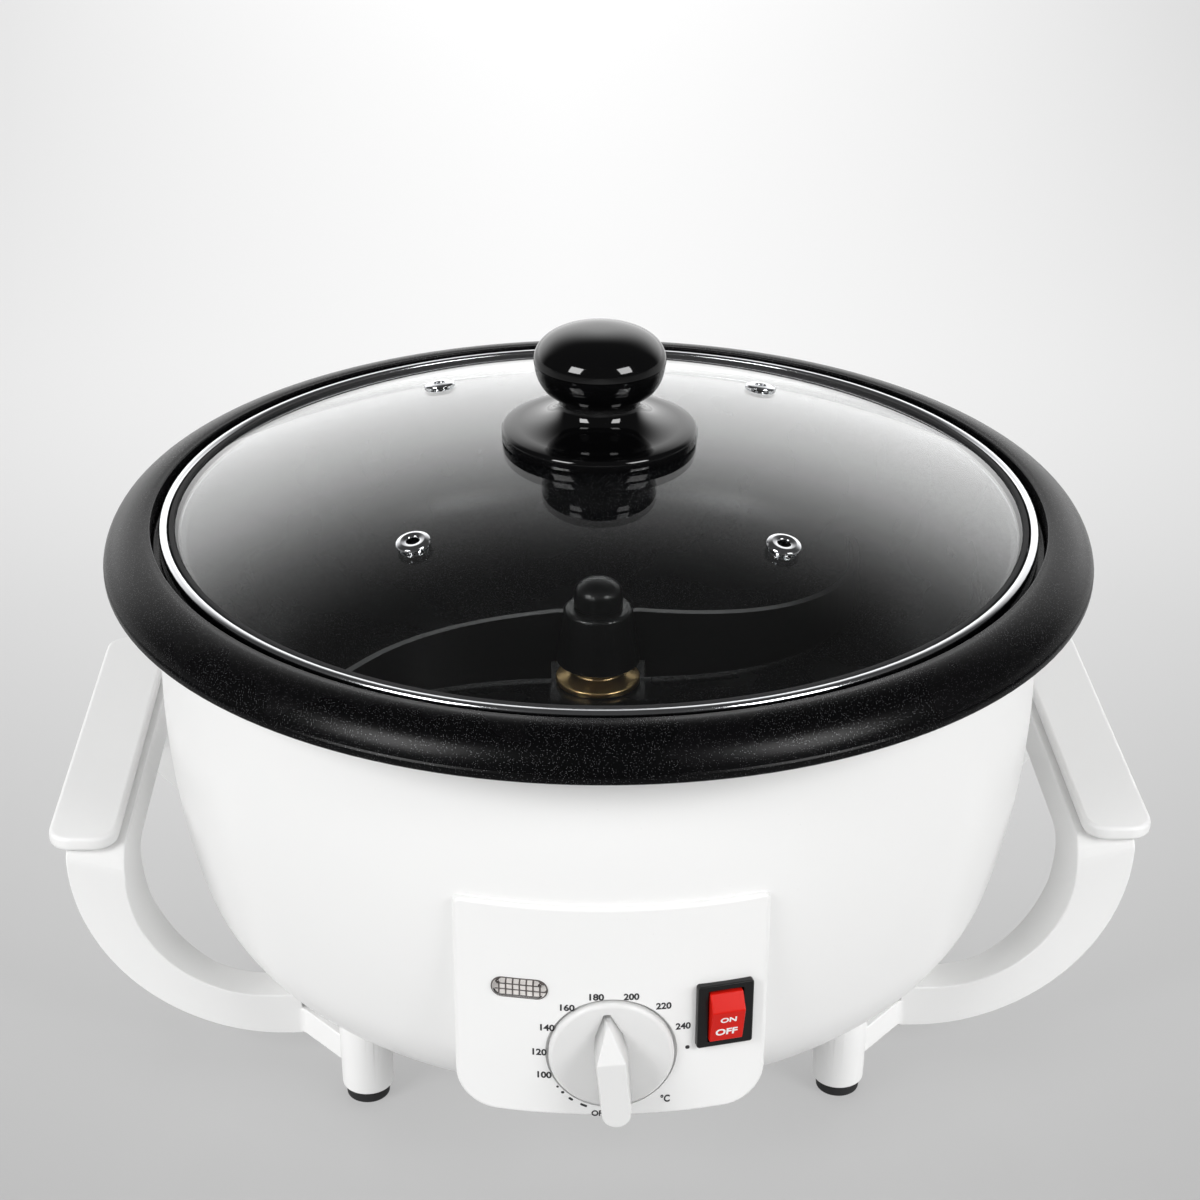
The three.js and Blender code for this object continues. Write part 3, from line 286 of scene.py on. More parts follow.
def finish(name, color, roughness, grain, patch, uneven=0.04, metallic=0.0, specular=0.5, speck=(700.0, 0.12),
           speck_color=None, speck_rough=0.0, speck_metal=0.0):
    """A material with grain (scale, depth), patches (scale, share of the tone) and specks (scale, size)."""
    material = bpy.data.materials.new(name)
    material.use_nodes = True
    tree = material.node_tree
    surface = add(tree, "Group", {
        "Grain Scale": grain[0], "Patch Scale": patch[0], "Speck Scale": speck[0], "Speck Size": speck[1],
    }, node_tree=bpy.data.node_groups["surface"]).outputs
    shade = add(tree, "Mix", {"Factor": surface["Patch"], "A": tone(color, 1.0 - patch[1]), "B": tone(color)},
                data_type="RGBA")
    dotted = add(tree, "Mix", {"Factor": surface["Speck"], "A": shade.outputs["Result"],
                               "B": speck_color or tone(color, 0.8)}, data_type="RGBA")
    gloss = add(tree, "MapRange", {"Value": surface["Patch"], "To Min": max(0.0, roughness - uneven),
                                   "To Max": roughness + uneven})
    bump = add(tree, "Bump", {"Height": surface["Grain"], "Strength": 1.0, "Distance": grain[1] * MM})
    if speck_metal:
        metallic = chain(tree, "MULTIPLY", surface["Speck"], speck_metal)
    feed(tree, tree.nodes["Principled BSDF"], {
        "Base Color": dotted.outputs["Result"], "Metallic": metallic, "Specular IOR Level": specular,
        "Roughness": chain(tree, "MULTIPLY_ADD", surface["Speck"], speck_rough, gloss.outputs["Result"]),
        "Normal": bump.outputs["Normal"],
    })
    return tree


def make_glass(name, color, roughness, ior):
    """Clear glass or plastic with faint wipe marks in its gloss. Shadow rays pass through it."""
    tree = finish(name, color, roughness + 0.004, (60.0, 0.0001), (9.0, 0.01), 0.004, speck=(420.0, 0.03),
                  speck_color=tone(color, 0.7), speck_rough=0.15)
    shader = tree.nodes["Principled BSDF"]
    feed(tree, shader, {"Transmission Weight": 1.0, "IOR": ior})
    passing = add(tree, "MixShader", {
        0: add(tree, "LightPath", {}).outputs["Is Shadow Ray"], 1: shader.outputs["BSDF"],
        2: add(tree, "BsdfTransparent", {"Color": SHADOW_TINT}).outputs["BSDF"],
    })
    feed(tree, tree.nodes["Material Output"], {"Surface": passing.outputs["Shader"]})


# Materials

EMPTY_CELLS = 0.72             # share of the speck pattern's cells that hold no speck
SHADOW_TINT = (0.93, 0.94, 0.94, 1.0)
DUST = (260.0, 0.05)


def make_materials(colors):
    surface_group()
    plastic, knob = colors.plastic, colors.knob
    finish("white plastic", plastic, 0.3, (1800.0, 0.006), (14.0, 0.025), 0.05, speck=DUST,
           speck_color=tone(plastic, 0.82))
    finish("panel plastic", plastic, 0.36, (2600.0, 0.012), (18.0, 0.03), 0.05, speck=DUST,
           speck_color=tone(plastic, 0.82))
    # The dial's plastic is the panel's plastic darkened to 0.86, which is painted shade
    finish("dial plastic with painted shade", tone(plastic, 0.86), 0.36, (2600.0, 0.012), (18.0, 0.03), 0.05, speck=DUST,
           speck_color=tone(plastic, 0.72))
    finish("pan coating", colors.coating, 0.27, (4200.0, 0.02), (30.0, 0.2), specular=0.13, speck=(3600.0, 0.3),
           speck_color=(0.3, 0.3, 0.31, 1.0), speck_rough=0.1, speck_metal=1.0)
    finish("knob plastic", knob, 0.06, (900.0, 0.002), (12.0, 0.2), 0.02, specular=0.55, speck=(300.0, 0.05),
           speck_color=(0.03, 0.03, 0.03, 1.0), speck_rough=0.3)
    finish("black plastic", knob, 0.3, (2500.0, 0.02), (25.0, 0.2), 0.05, specular=0.4)
    finish("black rubber", (0.016, 0.016, 0.017), 0.75, (1600.0, 0.06), (60.0, 0.25), 0.08)
    finish("polished steel", (0.72, 0.73, 0.75), 0.13, (1800.0, 0.004), (26.0, 0.05), 0.05, 1.0)
    finish("zinc plate", (0.52, 0.53, 0.55), 0.42, (900.0, 0.02), (60.0, 0.25), 0.1, 1.0)
    finish("machined brass", (0.66, 0.47, 0.22), 0.28, (1500.0, 0.01), (60.0, 0.2), 0.08, 1.0)
    finish("element sheath", (0.12, 0.105, 0.095), 0.5, (700.0, 0.03), (25.0, 0.45), 0.12, 0.8)
    finish("rocker plastic", colors.rocker, 0.3, (2200.0, 0.008), (60.0, 0.06), specular=0.2)
    finish("white ink", (0.85, 0.85, 0.85), 0.5, (3000.0, 0.01), (200.0, 0.08))
    finish("dark ink", (0.02, 0.02, 0.022), 0.5, (3000.0, 0.01), (200.0, 0.2))
    make_glass("lid glass", colors.glass, 0.0, 1.47)
    make_glass("lamp plastic", (0.93, 0.92, 0.91), 0.03, 1.46)
    finish("lamp white", (0.78, 0.75, 0.73), 0.4, (2500.0, 0.01), (300.0, 0.15))
    # Dark finish of the lens's edge and of the lamp's painted shade lines
    finish("lamp dark lines", (0.10, 0.085, 0.08), 0.4, (2500.0, 0.01), (300.0, 0.3))


# Properties

def length(name, description, default):
    return FloatProperty(name=name, description=description, default=default, unit="LENGTH", min=0.0)


def color(name, description, default):
    return FloatVectorProperty(name=name, description=description, default=default, subtype="COLOR", size=4,
                               min=0.0, max=1.0)


class RoasterColors(bpy.types.PropertyGroup):
    plastic: color("Plastic", "Bowl, panel, handles and dial", (0.82, 0.82, 0.815, 1.0))
    coating: color("Coating", "Non-stick coating of the pan", (0.0018, 0.0018, 0.0021, 1.0))
    knob: color("Knob", "Lid knob and other black plastic", (0.0016, 0.0016, 0.0018, 1.0))
    rocker: color("Rocker", "Rocker of the switch", (0.60, 0.010, 0.005, 1.0))
    glass: color("Glass", "Tint of the lid's glass", (0.95, 0.965, 0.965, 1.0))


class RoasterSizes(bpy.types.PropertyGroup):
    belly_radius: length("Belly", "Largest radius of the bowl", 0.1323)
    wall_curve: length("Wall curve", "Radius of the bowl's long side curve", 0.240)
    corner_curve: length("Corner curve", "Radius of the bowl's lower corner", 0.042)
    belly_height: length("Belly height", "Height of the widest place above the floor", 0.106)
    bowl_bottom: length("Bowl underside", "Height of the bowl's flat bottom above the floor", 0.016)
    shell_wall: length("Shell wall", "Thickness of the bowl's plastic", 0.0025)
    rim_radius: length("Rim", "Outer radius of the pan's rim", 0.1465)
    rim_top: length("Rim height", "Height of the rim's inner lip above the floor", 0.1572)
    rim_drop: length("Rim drop", "How far the rim slopes down to its edge", 0.0096)
    pan_floor: length("Pan floor", "Height of the cooking surface above the floor", 0.096)
    lid_radius: length("Lid", "Outer radius of the lid's steel ring", 0.130)
    dome_radius: length("Dome", "Radius of the sphere that the glass is part of", 0.356)
    dome_top: length("Dome top", "Height of the glass above the floor", 0.1791)
    glass_wall: length("Glass", "Thickness of the lid's glass", 0.0032)
    face_radius: length("Panel face", "Radius of the control panel's round face", 0.134)
    grip_length: length("Grip length", "Half the length of a side handle", 0.0636)


def sizes_of(context):
    """The sizes in millimetres."""
    group = context.scene.roaster_sizes
    return SimpleNamespace(**{name: getattr(group, name) / MM for name in group.__annotations__})


# Bowl and pan

SEAT_GAP = 0.3
SHELL_TOP = 147.8
BOTTOM_OPENING = 52.0
GROOVE_RADIUS = 132.4
LEDGE_DROP = 6.6
PAN_WALL = 2.5
PAN_MOUTH = 121.5
PAN_TAPER = 4.5
PAN_CORNER = 26.0
PAN_CORNER_X = PAN_MOUTH - PAN_TAPER - PAN_CORNER
SHAFT_HOLE = 8.3
RIM_BULGE = 3.2
RIM_EDGE = 2.2
GLAND_RADIUS = 6.0
BORE_REACH = (100.0, 150.0)    # the gland's bore is cut between these distances from the bowl's axis
GLAND_PLACE = at(0, 0, 60.0) @ Matrix.Rotation(-pi / 2, 4, "X")


def bowl_curve(size, offset, top, corner_steps, wall_steps):
    wall, corner = size.wall_curve, size.corner_curve
    wall_centre = size.belly_radius - wall
    corner_height = size.bowl_bottom + corner
    apart = wall - corner
    drop = corner_height - size.belly_height
    corner_centre = wall_centre + sqrt(apart ** 2 - drop ** 2)
    tangent = degrees(asin(drop / apart))
    top_angle = degrees(asin((top - size.belly_height) / (wall + offset)))
    return (arc(corner_centre, corner_height, corner + offset, -90, tangent, corner_steps)
            + arc(wall_centre, size.belly_height, wall + offset, tangent, top_angle, wall_steps)[1:])


def rim_curve(size, offset, steps):
    start = Vector((GROOVE_RADIUS + 0.8, size.rim_top))
    end = Vector((size.rim_radius, size.rim_top - size.rim_drop))
    chord = end - start
    normal = Vector((-chord.y, chord.x)).normalized()
    curve = ((chord.length / 2) ** 2 + RIM_BULGE ** 2) / (2 * RIM_BULGE)
    centre = (start + end) / 2 + normal * (RIM_BULGE - curve)
    angles = [degrees(atan2(p.y - centre.y, p.x - centre.x)) for p in (start, end)]
    return arc(centre.x, centre.y, curve - offset, angles[0], angles[1], steps)


class ROASTER_OT_bowl(bpy.types.Operator):
    """Bowl shell"""
    bl_idname = "roaster.bowl"
    bl_label = "Bowl"

    def execute(self, context):
        size = sizes_of(context)
        wall, bottom = size.shell_wall, size.bowl_bottom
        profile = (
            [(BOTTOM_OPENING, bottom)] + bowl_curve(size, 0, SHELL_TOP, 24, 40)
            + bowl_curve(size, -wall, SHELL_TOP, 16, 20)[::-1] + [(BOTTOM_OPENING, bottom + wall)]
        )
        bore = place(rod(GLAND_RADIUS + SEAT_GAP, *BORE_REACH), GLAND_PLACE)
        piece("bowl", merged(turned(profile, ring=True), bore), "white plastic", node="bowl_shell", even=True)
        return {"FINISHED"}


class ROASTER_OT_pan(bpy.types.Operator):
    """Roasting pan with its rim and the ledge for the lid"""
    bl_idname = "roaster.pan"
    bl_label = "Pan"

    def execute(self, context):
        size = sizes_of(context)
        rim_top, floor = size.rim_top, size.pan_floor
        ledge = rim_top - LEDGE_DROP
        rim, edge_low = size.rim_radius, rim_top - size.rim_drop - RIM_EDGE
        corner_x, corner_z = PAN_CORNER_X, floor + PAN_CORNER
        under = [p for p in rim_curve(size, PAN_WALL, 12) if p[0] > GROOVE_RADIUS + PAN_WALL + 1]
        inside = rounded([
            (corner_x + PAN_CORNER, corner_z, 0), (PAN_MOUTH, ledge, 1.2), (GROOVE_RADIUS, ledge, 1.0),
            (GROOVE_RADIUS, rim_top, 0.5), (GROOVE_RADIUS + 1.4, rim_top, 0),
        ], closed=False)
        edge = rounded([
            (rim - 0.4, edge_low + RIM_EDGE + 0.6, 0), (rim, edge_low + RIM_EDGE, 0.6), (rim, edge_low, 0.9),
            (rim - 2.2, edge_low, 0.4), (rim - 2.6, edge_low + 1.6, 0),
        ], closed=False)
        profile = (
            [(SHAFT_HOLE, floor)] + arc(corner_x, corner_z, PAN_CORNER, -90, 0, 16)[:-1] + inside
            + rim_curve(size, 0, 20)[1:-1] + edge + under[::-1]
            + [(GROOVE_RADIUS + PAN_WALL, ledge - PAN_WALL), (PAN_MOUTH + PAN_WALL, ledge - PAN_WALL)]
            + arc(corner_x, corner_z, PAN_CORNER + PAN_WALL, 0, -90, 12) + [(SHAFT_HOLE, floor - PAN_WALL)]
        )
        piece("roasting_pan", turned(profile, ring=True), "pan coating", node="pan")
        return {"FINISHED"}


# Lid

RING_WIDTH = 2.7
RING_UNDER = 150.9
RING_LEDGE = 123.0             # inner radius of the ring's ledge under the seal
LEDGE_THICK = 0.8
SEAL_WIDTH = 1.5
STUD_HOLE = 3.4
EYELET_CIRCLE = 77.75
EYELET_ANGLE = 40.9
LID_TURN = -1.9
EYELET_HOLE = 1.85
GLASS_HOLE = 2.9
DOME_STEPS = 40
EYELET_NAMES = ("front_right", "front_left", "rear_left", "rear_right")


def dome_height(size, radius, offset=0.0):
    return size.dome_top - size.dome_radius + sqrt((size.dome_radius + offset) ** 2 - radius ** 2)


def dome_curve(size, offset, inner, outer, steps):
    radii = [inner + (outer - inner) * i / steps for i in range(steps + 1)]
    return [(radius, dome_height(size, radius, offset)) for radius in radii]


def eyelet_matrix(size, index):
    """The frame of a vent eyelet, with its origin at the dome's centre and its axis through the glass."""
    turn = radians((1, -1, 1, -1)[index] * EYELET_ANGLE + (0, 0, 180, 180)[index] + LID_TURN)
    tilt = asin(EYELET_CIRCLE / size.dome_radius)
    return (at(0, 0, size.dome_top - size.dome_radius) @ Matrix.Rotation(turn, 4, "Z")
            @ Matrix.Rotation(tilt, 4, "X"))


class ROASTER_OT_lid(bpy.types.Operator):
    """Domed glass with its steel ring, seal and four vent eyelets"""
    bl_idname = "roaster.lid"
    bl_label = "Lid"

    def execute(self, context):
        size = sizes_of(context)
        wall, dome = size.glass_wall, size.dome_radius
        outer, rim_top = size.lid_radius, size.rim_top
        ring_inner = outer - RING_WIDTH
        seal_outer = ring_inner - SEAT_GAP
        glass_edge = seal_outer - SEAL_WIDTH - SEAT_GAP

        top, under = [dome_curve(size, offset, STUD_HOLE, glass_edge, DOME_STEPS) for offset in (0, -wall)]
        holes = [place(slab(arc(0, 0, GLASS_HOLE, 0, 345, 23), dome - wall - OVERRUN, dome + OVERRUN),
                       eyelet_matrix(size, index)) for index in range(len(EYELET_NAMES))]
        glass = merged(turned(top + under[::-1], ring=True), *holes)
        piece("glass_dome", glass, "lid glass", "lid", "lid_glass")

        ledge_top = RING_UNDER + LEDGE_THICK
        ring = lathe([
            (RING_LEDGE, RING_UNDER, 0.3), (outer, RING_UNDER, 1.0), (outer, rim_top, 1.2), (ring_inner, rim_top, 1.1),
            (ring_inner, ledge_top, 0.2), (RING_LEDGE, ledge_top, 0.3),
        ], ROUND, ring=True)
        piece("steel_ring", ring, "polished steel", "lid", "lid_ring")

        seal_low, seal_inner = ledge_top + SEAT_GAP, seal_outer - SEAL_WIDTH
        edge_under = dome_height(size, glass_edge, -wall) - SEAT_GAP
        seal_top = dome_height(size, glass_edge) + 0.6
        seal = lathe([
            (RING_LEDGE, seal_low, 0.2), (seal_outer, seal_low, 0.3), (seal_outer, seal_top, 0.5),
            (seal_inner, seal_top, 0.4), (seal_inner, edge_under, 0.1), (RING_LEDGE, edge_under, 0.2),
        ], ROUND, ring=True)
        piece("lid_gasket", seal, "black rubber", "lid", "lid_seal")

        top_face, low_face = dome + SEAT_GAP, dome - wall - SEAT_GAP
        eyelet = rounded([
            (EYELET_HOLE, low_face - 0.9, 0.4), (4.0, low_face - 0.9, 0.4), (4.0, low_face, 0.1),
            (EYELET_HOLE + 0.75, low_face, 0.1), (EYELET_HOLE + 0.75, top_face, 0.1), (5.0, top_face - 0.1, 0.1),
            (4.7, top_face + 0.55, 0.4), (3.4, top_face + 1.0, 0.6), (EYELET_HOLE, top_face + 0.75, 0.5),
        ])
        for index, spot in enumerate(EYELET_NAMES):
            vent = place(turned(eyelet, SMALL_ROUND, ring=True), eyelet_matrix(size, index))
            piece(f"vent_eyelet_{spot}", vent, "polished steel", "lid", f"lid_eyelet_{spot}")
        return {"FINISHED"}


def ellipse_quarter(start, end, steps):
    """A quarter ellipse between two (radius, height) points that leaves the first one level."""
    (x, z), (far_x, far_z) = start, end
    angles = [pi / 2 * i / steps for i in range(steps + 1)]
    return [(x + (far_x - x) * sin(a), z + (far_z - z) * (1 - cos(a))) for a in angles]


KNOB_SKIRT = 28.9
KNOB_HOLLOW = 22.3
KNOB_BORE = 16.0               # depth of the screw's hole
KNOB_ROUND = 128
KNOB_STEPS = 14
KNOB_NECK_TOP = 189.5
KNOB_HEAD_LOW = 191.7
CROWN_FULLNESS = 0.75
KNOB_NECK = 11.8
KNOB_HEAD = 19.3
KNOB_TOP = 212.0
KNOB_SEAM = 201.7
SCREW_RADIUS = 2.5
SCREW_HEAD = 4.8
WASHER = 9.0
GASKET = 22.0


class ROASTER_OT_knob(bpy.types.Operator):
    """Lid knob, with its gasket, screw and washer"""
    bl_idname = "roaster.knob"
    bl_label = "Knob"

    def execute(self, context):
        size = sizes_of(context)
        glass = dome_height(size, KNOB_SKIRT) + SEAT_GAP
        recess = dome_height(size, 0) + 1.8
        bore, crown_low = SCREW_RADIUS + SEAT_GAP, KNOB_SEAM + 0.8
        bore_top = recess + KNOB_BORE
        brim, brim_low, brim_high = KNOB_SKIRT - 3.4, glass + 3.6, glass + 4.2
        skirt = rounded([
            (0, bore_top, 0), (bore, bore_top, 0), (bore, recess, 0), (KNOB_HOLLOW, recess, 0.3),
            (KNOB_HOLLOW, dome_height(size, KNOB_HOLLOW) + SEAT_GAP, 0.2), (KNOB_SKIRT, glass, 0.5),
            (KNOB_SKIRT, brim_low, 1.3), (brim, brim_high, 0),
        ], closed=False)
        flare = ellipse_quarter((brim, brim_high), (KNOB_NECK, KNOB_NECK_TOP), KNOB_STEPS)
        head_low = ellipse_quarter((KNOB_NECK, KNOB_HEAD_LOW), (KNOB_HEAD, crown_low), KNOB_STEPS)
        seam = [(KNOB_HEAD - 0.12, KNOB_SEAM - 0.3), (KNOB_HEAD - 0.5, KNOB_SEAM), (KNOB_HEAD, KNOB_SEAM + 0.3)]
        crown = [(KNOB_HEAD * cos(radians(a)) ** CROWN_FULLNESS, crown_low + (KNOB_TOP - crown_low) * sin(radians(a)))
                 for a in range(6, 90, 6)]
        below = [p for p in head_low if p[1] < KNOB_SEAM - 0.6]
        profile = skirt + flare[1:] + below + seam + crown + [(0, KNOB_TOP)]
        piece("knob", turned(profile, KNOB_ROUND), "knob plastic", "lid", "lid_knob")
        top = dome_height(size, 0)
        gasket = lathe([
            (bore, top + SEAT_GAP, 0), (GASKET, dome_height(size, GASKET) + SEAT_GAP, 0.2), (GASKET, top + 1.5, 0.5),
            (bore, top + 1.5, 0),
        ], ROUND, ring=True)
        piece("gasket", gasket, "black rubber", "lid", "knob_gasket")
        under = top - size.glass_wall - SEAT_GAP
        washer = lathe([(bore, under - 1.4, 0.2), (WASHER, under - 1.4, 0.4), (WASHER, under - 0.35, 0.3),
                        (bore, under, 0)], ring=True)
        piece("washer", washer, "polished steel", "lid", "knob_washer")
        head = under - 1.7
        screw = lathe([
            (0, head - 2.6, 0), (SCREW_HEAD - 0.3, head - 2.6, 0.9), (SCREW_HEAD, head, 0.3), (SCREW_RADIUS, head, 0),
            (SCREW_RADIUS, bore_top - 0.5, 0.3), (0, bore_top - 0.5, 0),
        ])
        recess_bars = cross_recess(2.6, 0.75, head - 3.0, head - 1.2)
        piece("screw", merged(screw, *recess_bars), "polished steel", "lid", "knob_screw")
        return {"FINISHED"}


SCREW_ROUND = 40


def cross_recess(half, thick, low, high):
    """The two bars of a cross recess."""
    return [slab(rectangle(-x, x, -y, y), low, high) for x, y in ((half, thick / 2), (thick / 2, half))]


def pan_head_screw(radius, face, matrix):
    """A small screw whose head looks down from a face at that height."""
    bm = lathe([(0, face - 1.5, 0), (radius * 0.55, face - 1.45, 0.8), (radius, face - 0.5, 0.5), (radius, face, 0.1),
                (radius * 0.5, face, 0), (radius * 0.5, face + 2.0, 0), (0, face + 2.0, 0)], SCREW_ROUND)
    return place(merged(bm, *cross_recess(radius * 0.62, 0.5, face - 2.0, face - 0.7)), matrix)


# Control panel

PANEL_HALF = 42.0
PANEL_LOW = 33.8
PANEL_HIGH = 101.0
HOUSING_INSIDE = 90.0          # where the housing starts, before the bowl is cut out of it
FACE_SLICES = 48
DIAL_Z = 54.7
DIAL_RADIUS = 16.9
DIAL_ROUND = 96
DIAL_RECESS = 17.75
DIAL_RECESS_FLOOR = 131.8
DIAL_FACE = 135.2
LAMP_X = -24.6
LAMP_Z = 74.9
LENS_HALF = (7.35, 2.8)
# The lamp's painted shade lines: dark bars that stand for the shade between the lens's prism cells
SHADE_LINE_COUNT = 3
SHADE_LINE_PITCH = 1.85
SHADE_LINE_INSET = 0.4
LENS_DEPTH = (-5.0, 0.9)       # from the panel's face
SWITCH_X = 30.2
SWITCH_Z = 65.8
BEZEL_HALF = (7.8, 9.9)
BEZEL_PROUD = 1.8
SLOT_DEPTH = 12.0              # depths behind the panel's face
WELL_DEPTH = 16.0
POCKET_DEPTH = 9.0
ROCKER_HALF = (4.6, 7.5)
ROCKER_LOW = 1.0
FOLD_UP = 3.1
FOLD_PROUD = 3.2


def square_to_face(across, face_radius):
    """Turns a piece that is made on the front line to its place round the panel's face."""
    return Matrix.Rotation(asin(across / face_radius), 4, "Z")


class ROASTER_OT_panel(bpy.types.Operator):
    """Control panel housing with its round face"""
    bl_idname = "roaster.panel"
    bl_label = "Control panel"

    def execute(self, context):
        size = sizes_of(context)
        face = size.face_radius
        outline = rounded([
            (-PANEL_HALF, PANEL_LOW, 11.0), (PANEL_HALF, PANEL_LOW, 11.0),
            (PANEL_HALF, PANEL_HIGH, 2.2), (-PANEL_HALF, PANEL_HIGH, 2.2),
        ], step=radians(7.5))
        housing = slab(outline, HOUSING_INSIDE, face, bevel=1.1, segments=4, ends=(False, True))
        slices(housing, -PANEL_HALF, PANEL_HALF, FACE_SLICES)
        for vert in housing.verts:
            if vert.co.z > (0.1 * face + HOUSING_INSIDE) * MM:
                vert.co.z -= face * MM - sqrt((face * MM) ** 2 - vert.co.x ** 2)
        recess = slab(arc(0, DIAL_Z, DIAL_RECESS, 0, 354, 59), DIAL_RECESS_FLOOR, face + OVERRUN)
        lamp_slot = slab(lens_outline(0.35), face - 3, face + OVERRUN)
        switch_slot = slab(soft_box(BEZEL_HALF, (0, SWITCH_Z), 0.5, -1), face - SLOT_DEPTH, face + OVERRUN)
        body = merged(
            place(housing, TO_FRONT), bowl_block(size), place(recess, TO_FRONT),
            place(lamp_slot, square_to_face(LAMP_X, face) @ TO_FRONT),
            place(switch_slot, square_to_face(SWITCH_X, face) @ TO_FRONT),
        )
        piece("panel_housing", body, "panel plastic", node="control_panel", edge_bevel=0.3)
        return {"FINISHED"}


RIDGE_FRONT = 144.7
RIDGE_TAIL = 16.3
RIDGE_TURN = radians(5.2)
# (across, up, depth) from the dial's centre, on the ridge's right: at its root and along its crown
RIDGE_ROOT = ((4.65, 2.5), (3.75, 7.5), (0.9, 14.3))
RIDGE_CROWN = ((3.9, 4.2, RIDGE_FRONT), (2.1, 7.9, 141.3), (0.3, 11.2, 138.2))


def ridge_solid():
    """The dial's pointer: a round-ended grip that slopes down to a tip."""
    bm = bmesh.new()
    rings = []
    for radius, sides, depth in ((4.5, RIDGE_ROOT, DIAL_FACE - 0.8), (3.9, RIDGE_CROWN, RIDGE_FRONT)):
        tail = [(x, z, depth) for x, z in arc(0, radius - RIDGE_TAIL, radius, 180, 360, 16)]
        right = [(*spot[:2], spot[2] if len(spot) > 2 else depth) for spot in sides]
        left = [(-x, z, y) for x, z, y in right[::-1]]
        rings.append([bm.verts.new((x * MM, z * MM, y * MM)) for x, z, y in tail + right + left])
    root, crown = rings
    count = len(root)
    for i in range(count):
        bm.faces.new((root[i], root[(i + 1) % count], crown[(i + 1) % count], crown[i]))
    bm.faces.new(root[::-1])
    bm.faces.new([*crown[:18], crown[-1]])
    bm.faces.new((crown[17], crown[18], crown[-2], crown[-1]))
    bm.faces.new((crown[18], crown[19], crown[20], crown[-2]))
    bmesh.ops.recalc_face_normals(bm, faces=bm.faces)
    rim = [e for e in bm.edges if e.verts[0] in crown and e.verts[1] in crown and e.calc_face_angle(0) > SHARP]
    soften(bm, rim, 0.7, 4)
    return place(bm, at(0, 0, DIAL_Z) @ Matrix.Rotation(-RIDGE_TURN, 4, "Y") @ TO_FRONT)


class ROASTER_OT_dial(bpy.types.Operator):
    """Temperature dial with its pointer ridge, and the scale round it"""
    bl_idname = "roaster.dial"
    bl_label = "Dial"

    def execute(self, context):
        face = sizes_of(context).face_radius
        back = DIAL_RECESS_FLOOR + SEAT_GAP
        disc = lathe([(0, back, 0), (DIAL_RADIUS, back, 0.3), (DIAL_RADIUS, DIAL_FACE, 1.3), (0, DIAL_FACE, 0)],
                     DIAL_ROUND)
        place(disc, at(0, 0, DIAL_Z) @ Matrix.Rotation(pi / 2, 4, "X"))
        piece("dial", joined(disc, ridge_solid()), "dial plastic with painted shade", "dial", "temperature_dial", even=True)
        inks = [(f"scale_mark_{i}", place(lettering(words, width, height), at(x, z, 0)))
                for i, (words, x, z, width, height) in enumerate(SCALE_MARKS)]
        for i, (x, z, width, height, turn) in enumerate(SCALE_TICKS):
            tick = slab(soft_box((width / 2, height / 2), (0, 0), height / 2.2), 0, INK_THICKNESS)
            inks.append((f"scale_tick_{i}", place(tick, at(x, z, 0) @ Matrix.Rotation(radians(turn), 4, "Z"))))
        for name, ink in inks:
            wrap(ink, face)
            piece(name, ink, "dark ink")
        return {"FINISHED"}


INK_THICKNESS = 0.06
LETTER_WEIGHT = 0.03           # how far the letters are thickened, as a share of their size
# (words, across, height on the panel, width, letter height)
SCALE_MARKS = (
    ("100", -18.05, 47.2, 3.85, 2.1), ("120", -19.35, 54.65, 3.85, 2.1), ("140", -17.2, 62.8, 3.9, 2.1),
    ("160", -11.85, 69.6, 3.9, 2.1), ("180", -4.05, 73.2, 3.9, 2.1), ("200", 5.2, 73.2, 4.15, 2.1),
    ("220", 13.9, 69.7, 4.15, 2.1), ("240", 19.3, 62.6, 4.1, 2.1), ("°C", 14.8, 39.1, 2.6, 2.5),
    ("OFF", -3.2, 34.95, 4.1, 1.9),
)
# (across, height on the panel, width, height, turn in degrees)
SCALE_TICKS = (
    (20.6, 55.5, 1.2, 1.15, 0), (-14.5, 43.5, 0.7, 0.65, 0), (-13.1, 41.7, 0.85, 0.8, 0), (-10.9, 39.6, 1.35, 0.7, -35),
    (-7.4, 37.6, 2.0, 0.7, -24),
)


def wrap(bm, face):
    """Lays flat ink, drawn as (x, z, depth), on the panel's round face."""
    for vert in bm.verts:
        radius = face * MM + vert.co.z
        angle = vert.co.x / (face * MM)
        vert.co = Vector((radius * sin(angle), -radius * cos(angle), vert.co.y))
    bmesh.ops.recalc_face_normals(bm, faces=bm.faces)


def lettering(words, width, height):
    """A bmesh of flat letters with a little thickness, drawn to a size and centred on the origin."""
    curve = bpy.data.curves.new("words", "FONT")
    curve.body, curve.extrude, curve.offset = words, 0.5, LETTER_WEIGHT
    thing = bpy.data.objects.new("words", curve)
    bpy.context.scene.collection.objects.link(thing)
    bpy.context.view_layer.update()
    mesh = bpy.data.meshes.new_from_object(thing.evaluated_get(bpy.context.evaluated_depsgraph_get()))
    bm = bmesh.new()
    bm.from_mesh(mesh)
    bpy.data.objects.remove(thing)
    bpy.data.curves.remove(curve)
    bpy.data.meshes.remove(mesh)
    bmesh.ops.remove_doubles(bm, verts=bm.verts, dist=1e-4)
    (left, low), (right, high) = [[pick(v.co[axis] for v in bm.verts) for axis in (0, 1)] for pick in (min, max)]
    scale = Matrix.Diagonal((width * MM / (right - left), height * MM / (high - low), INK_THICKNESS * MM, 1))
    centre = Matrix.Translation((-(left + right) / 2, -(low + high) / 2, 0.5))
    return place(bm, scale @ centre)


def lens_outline(grow=0.0, steps=16):
    """The lamp's round-ended outline on the panel."""
    flat, radius = LENS_HALF[0] - LENS_HALF[1], LENS_HALF[1] + grow
    return arc(flat, LAMP_Z, radius, -90, 90, steps) + arc(-flat, LAMP_Z, radius, 90, 270, steps)


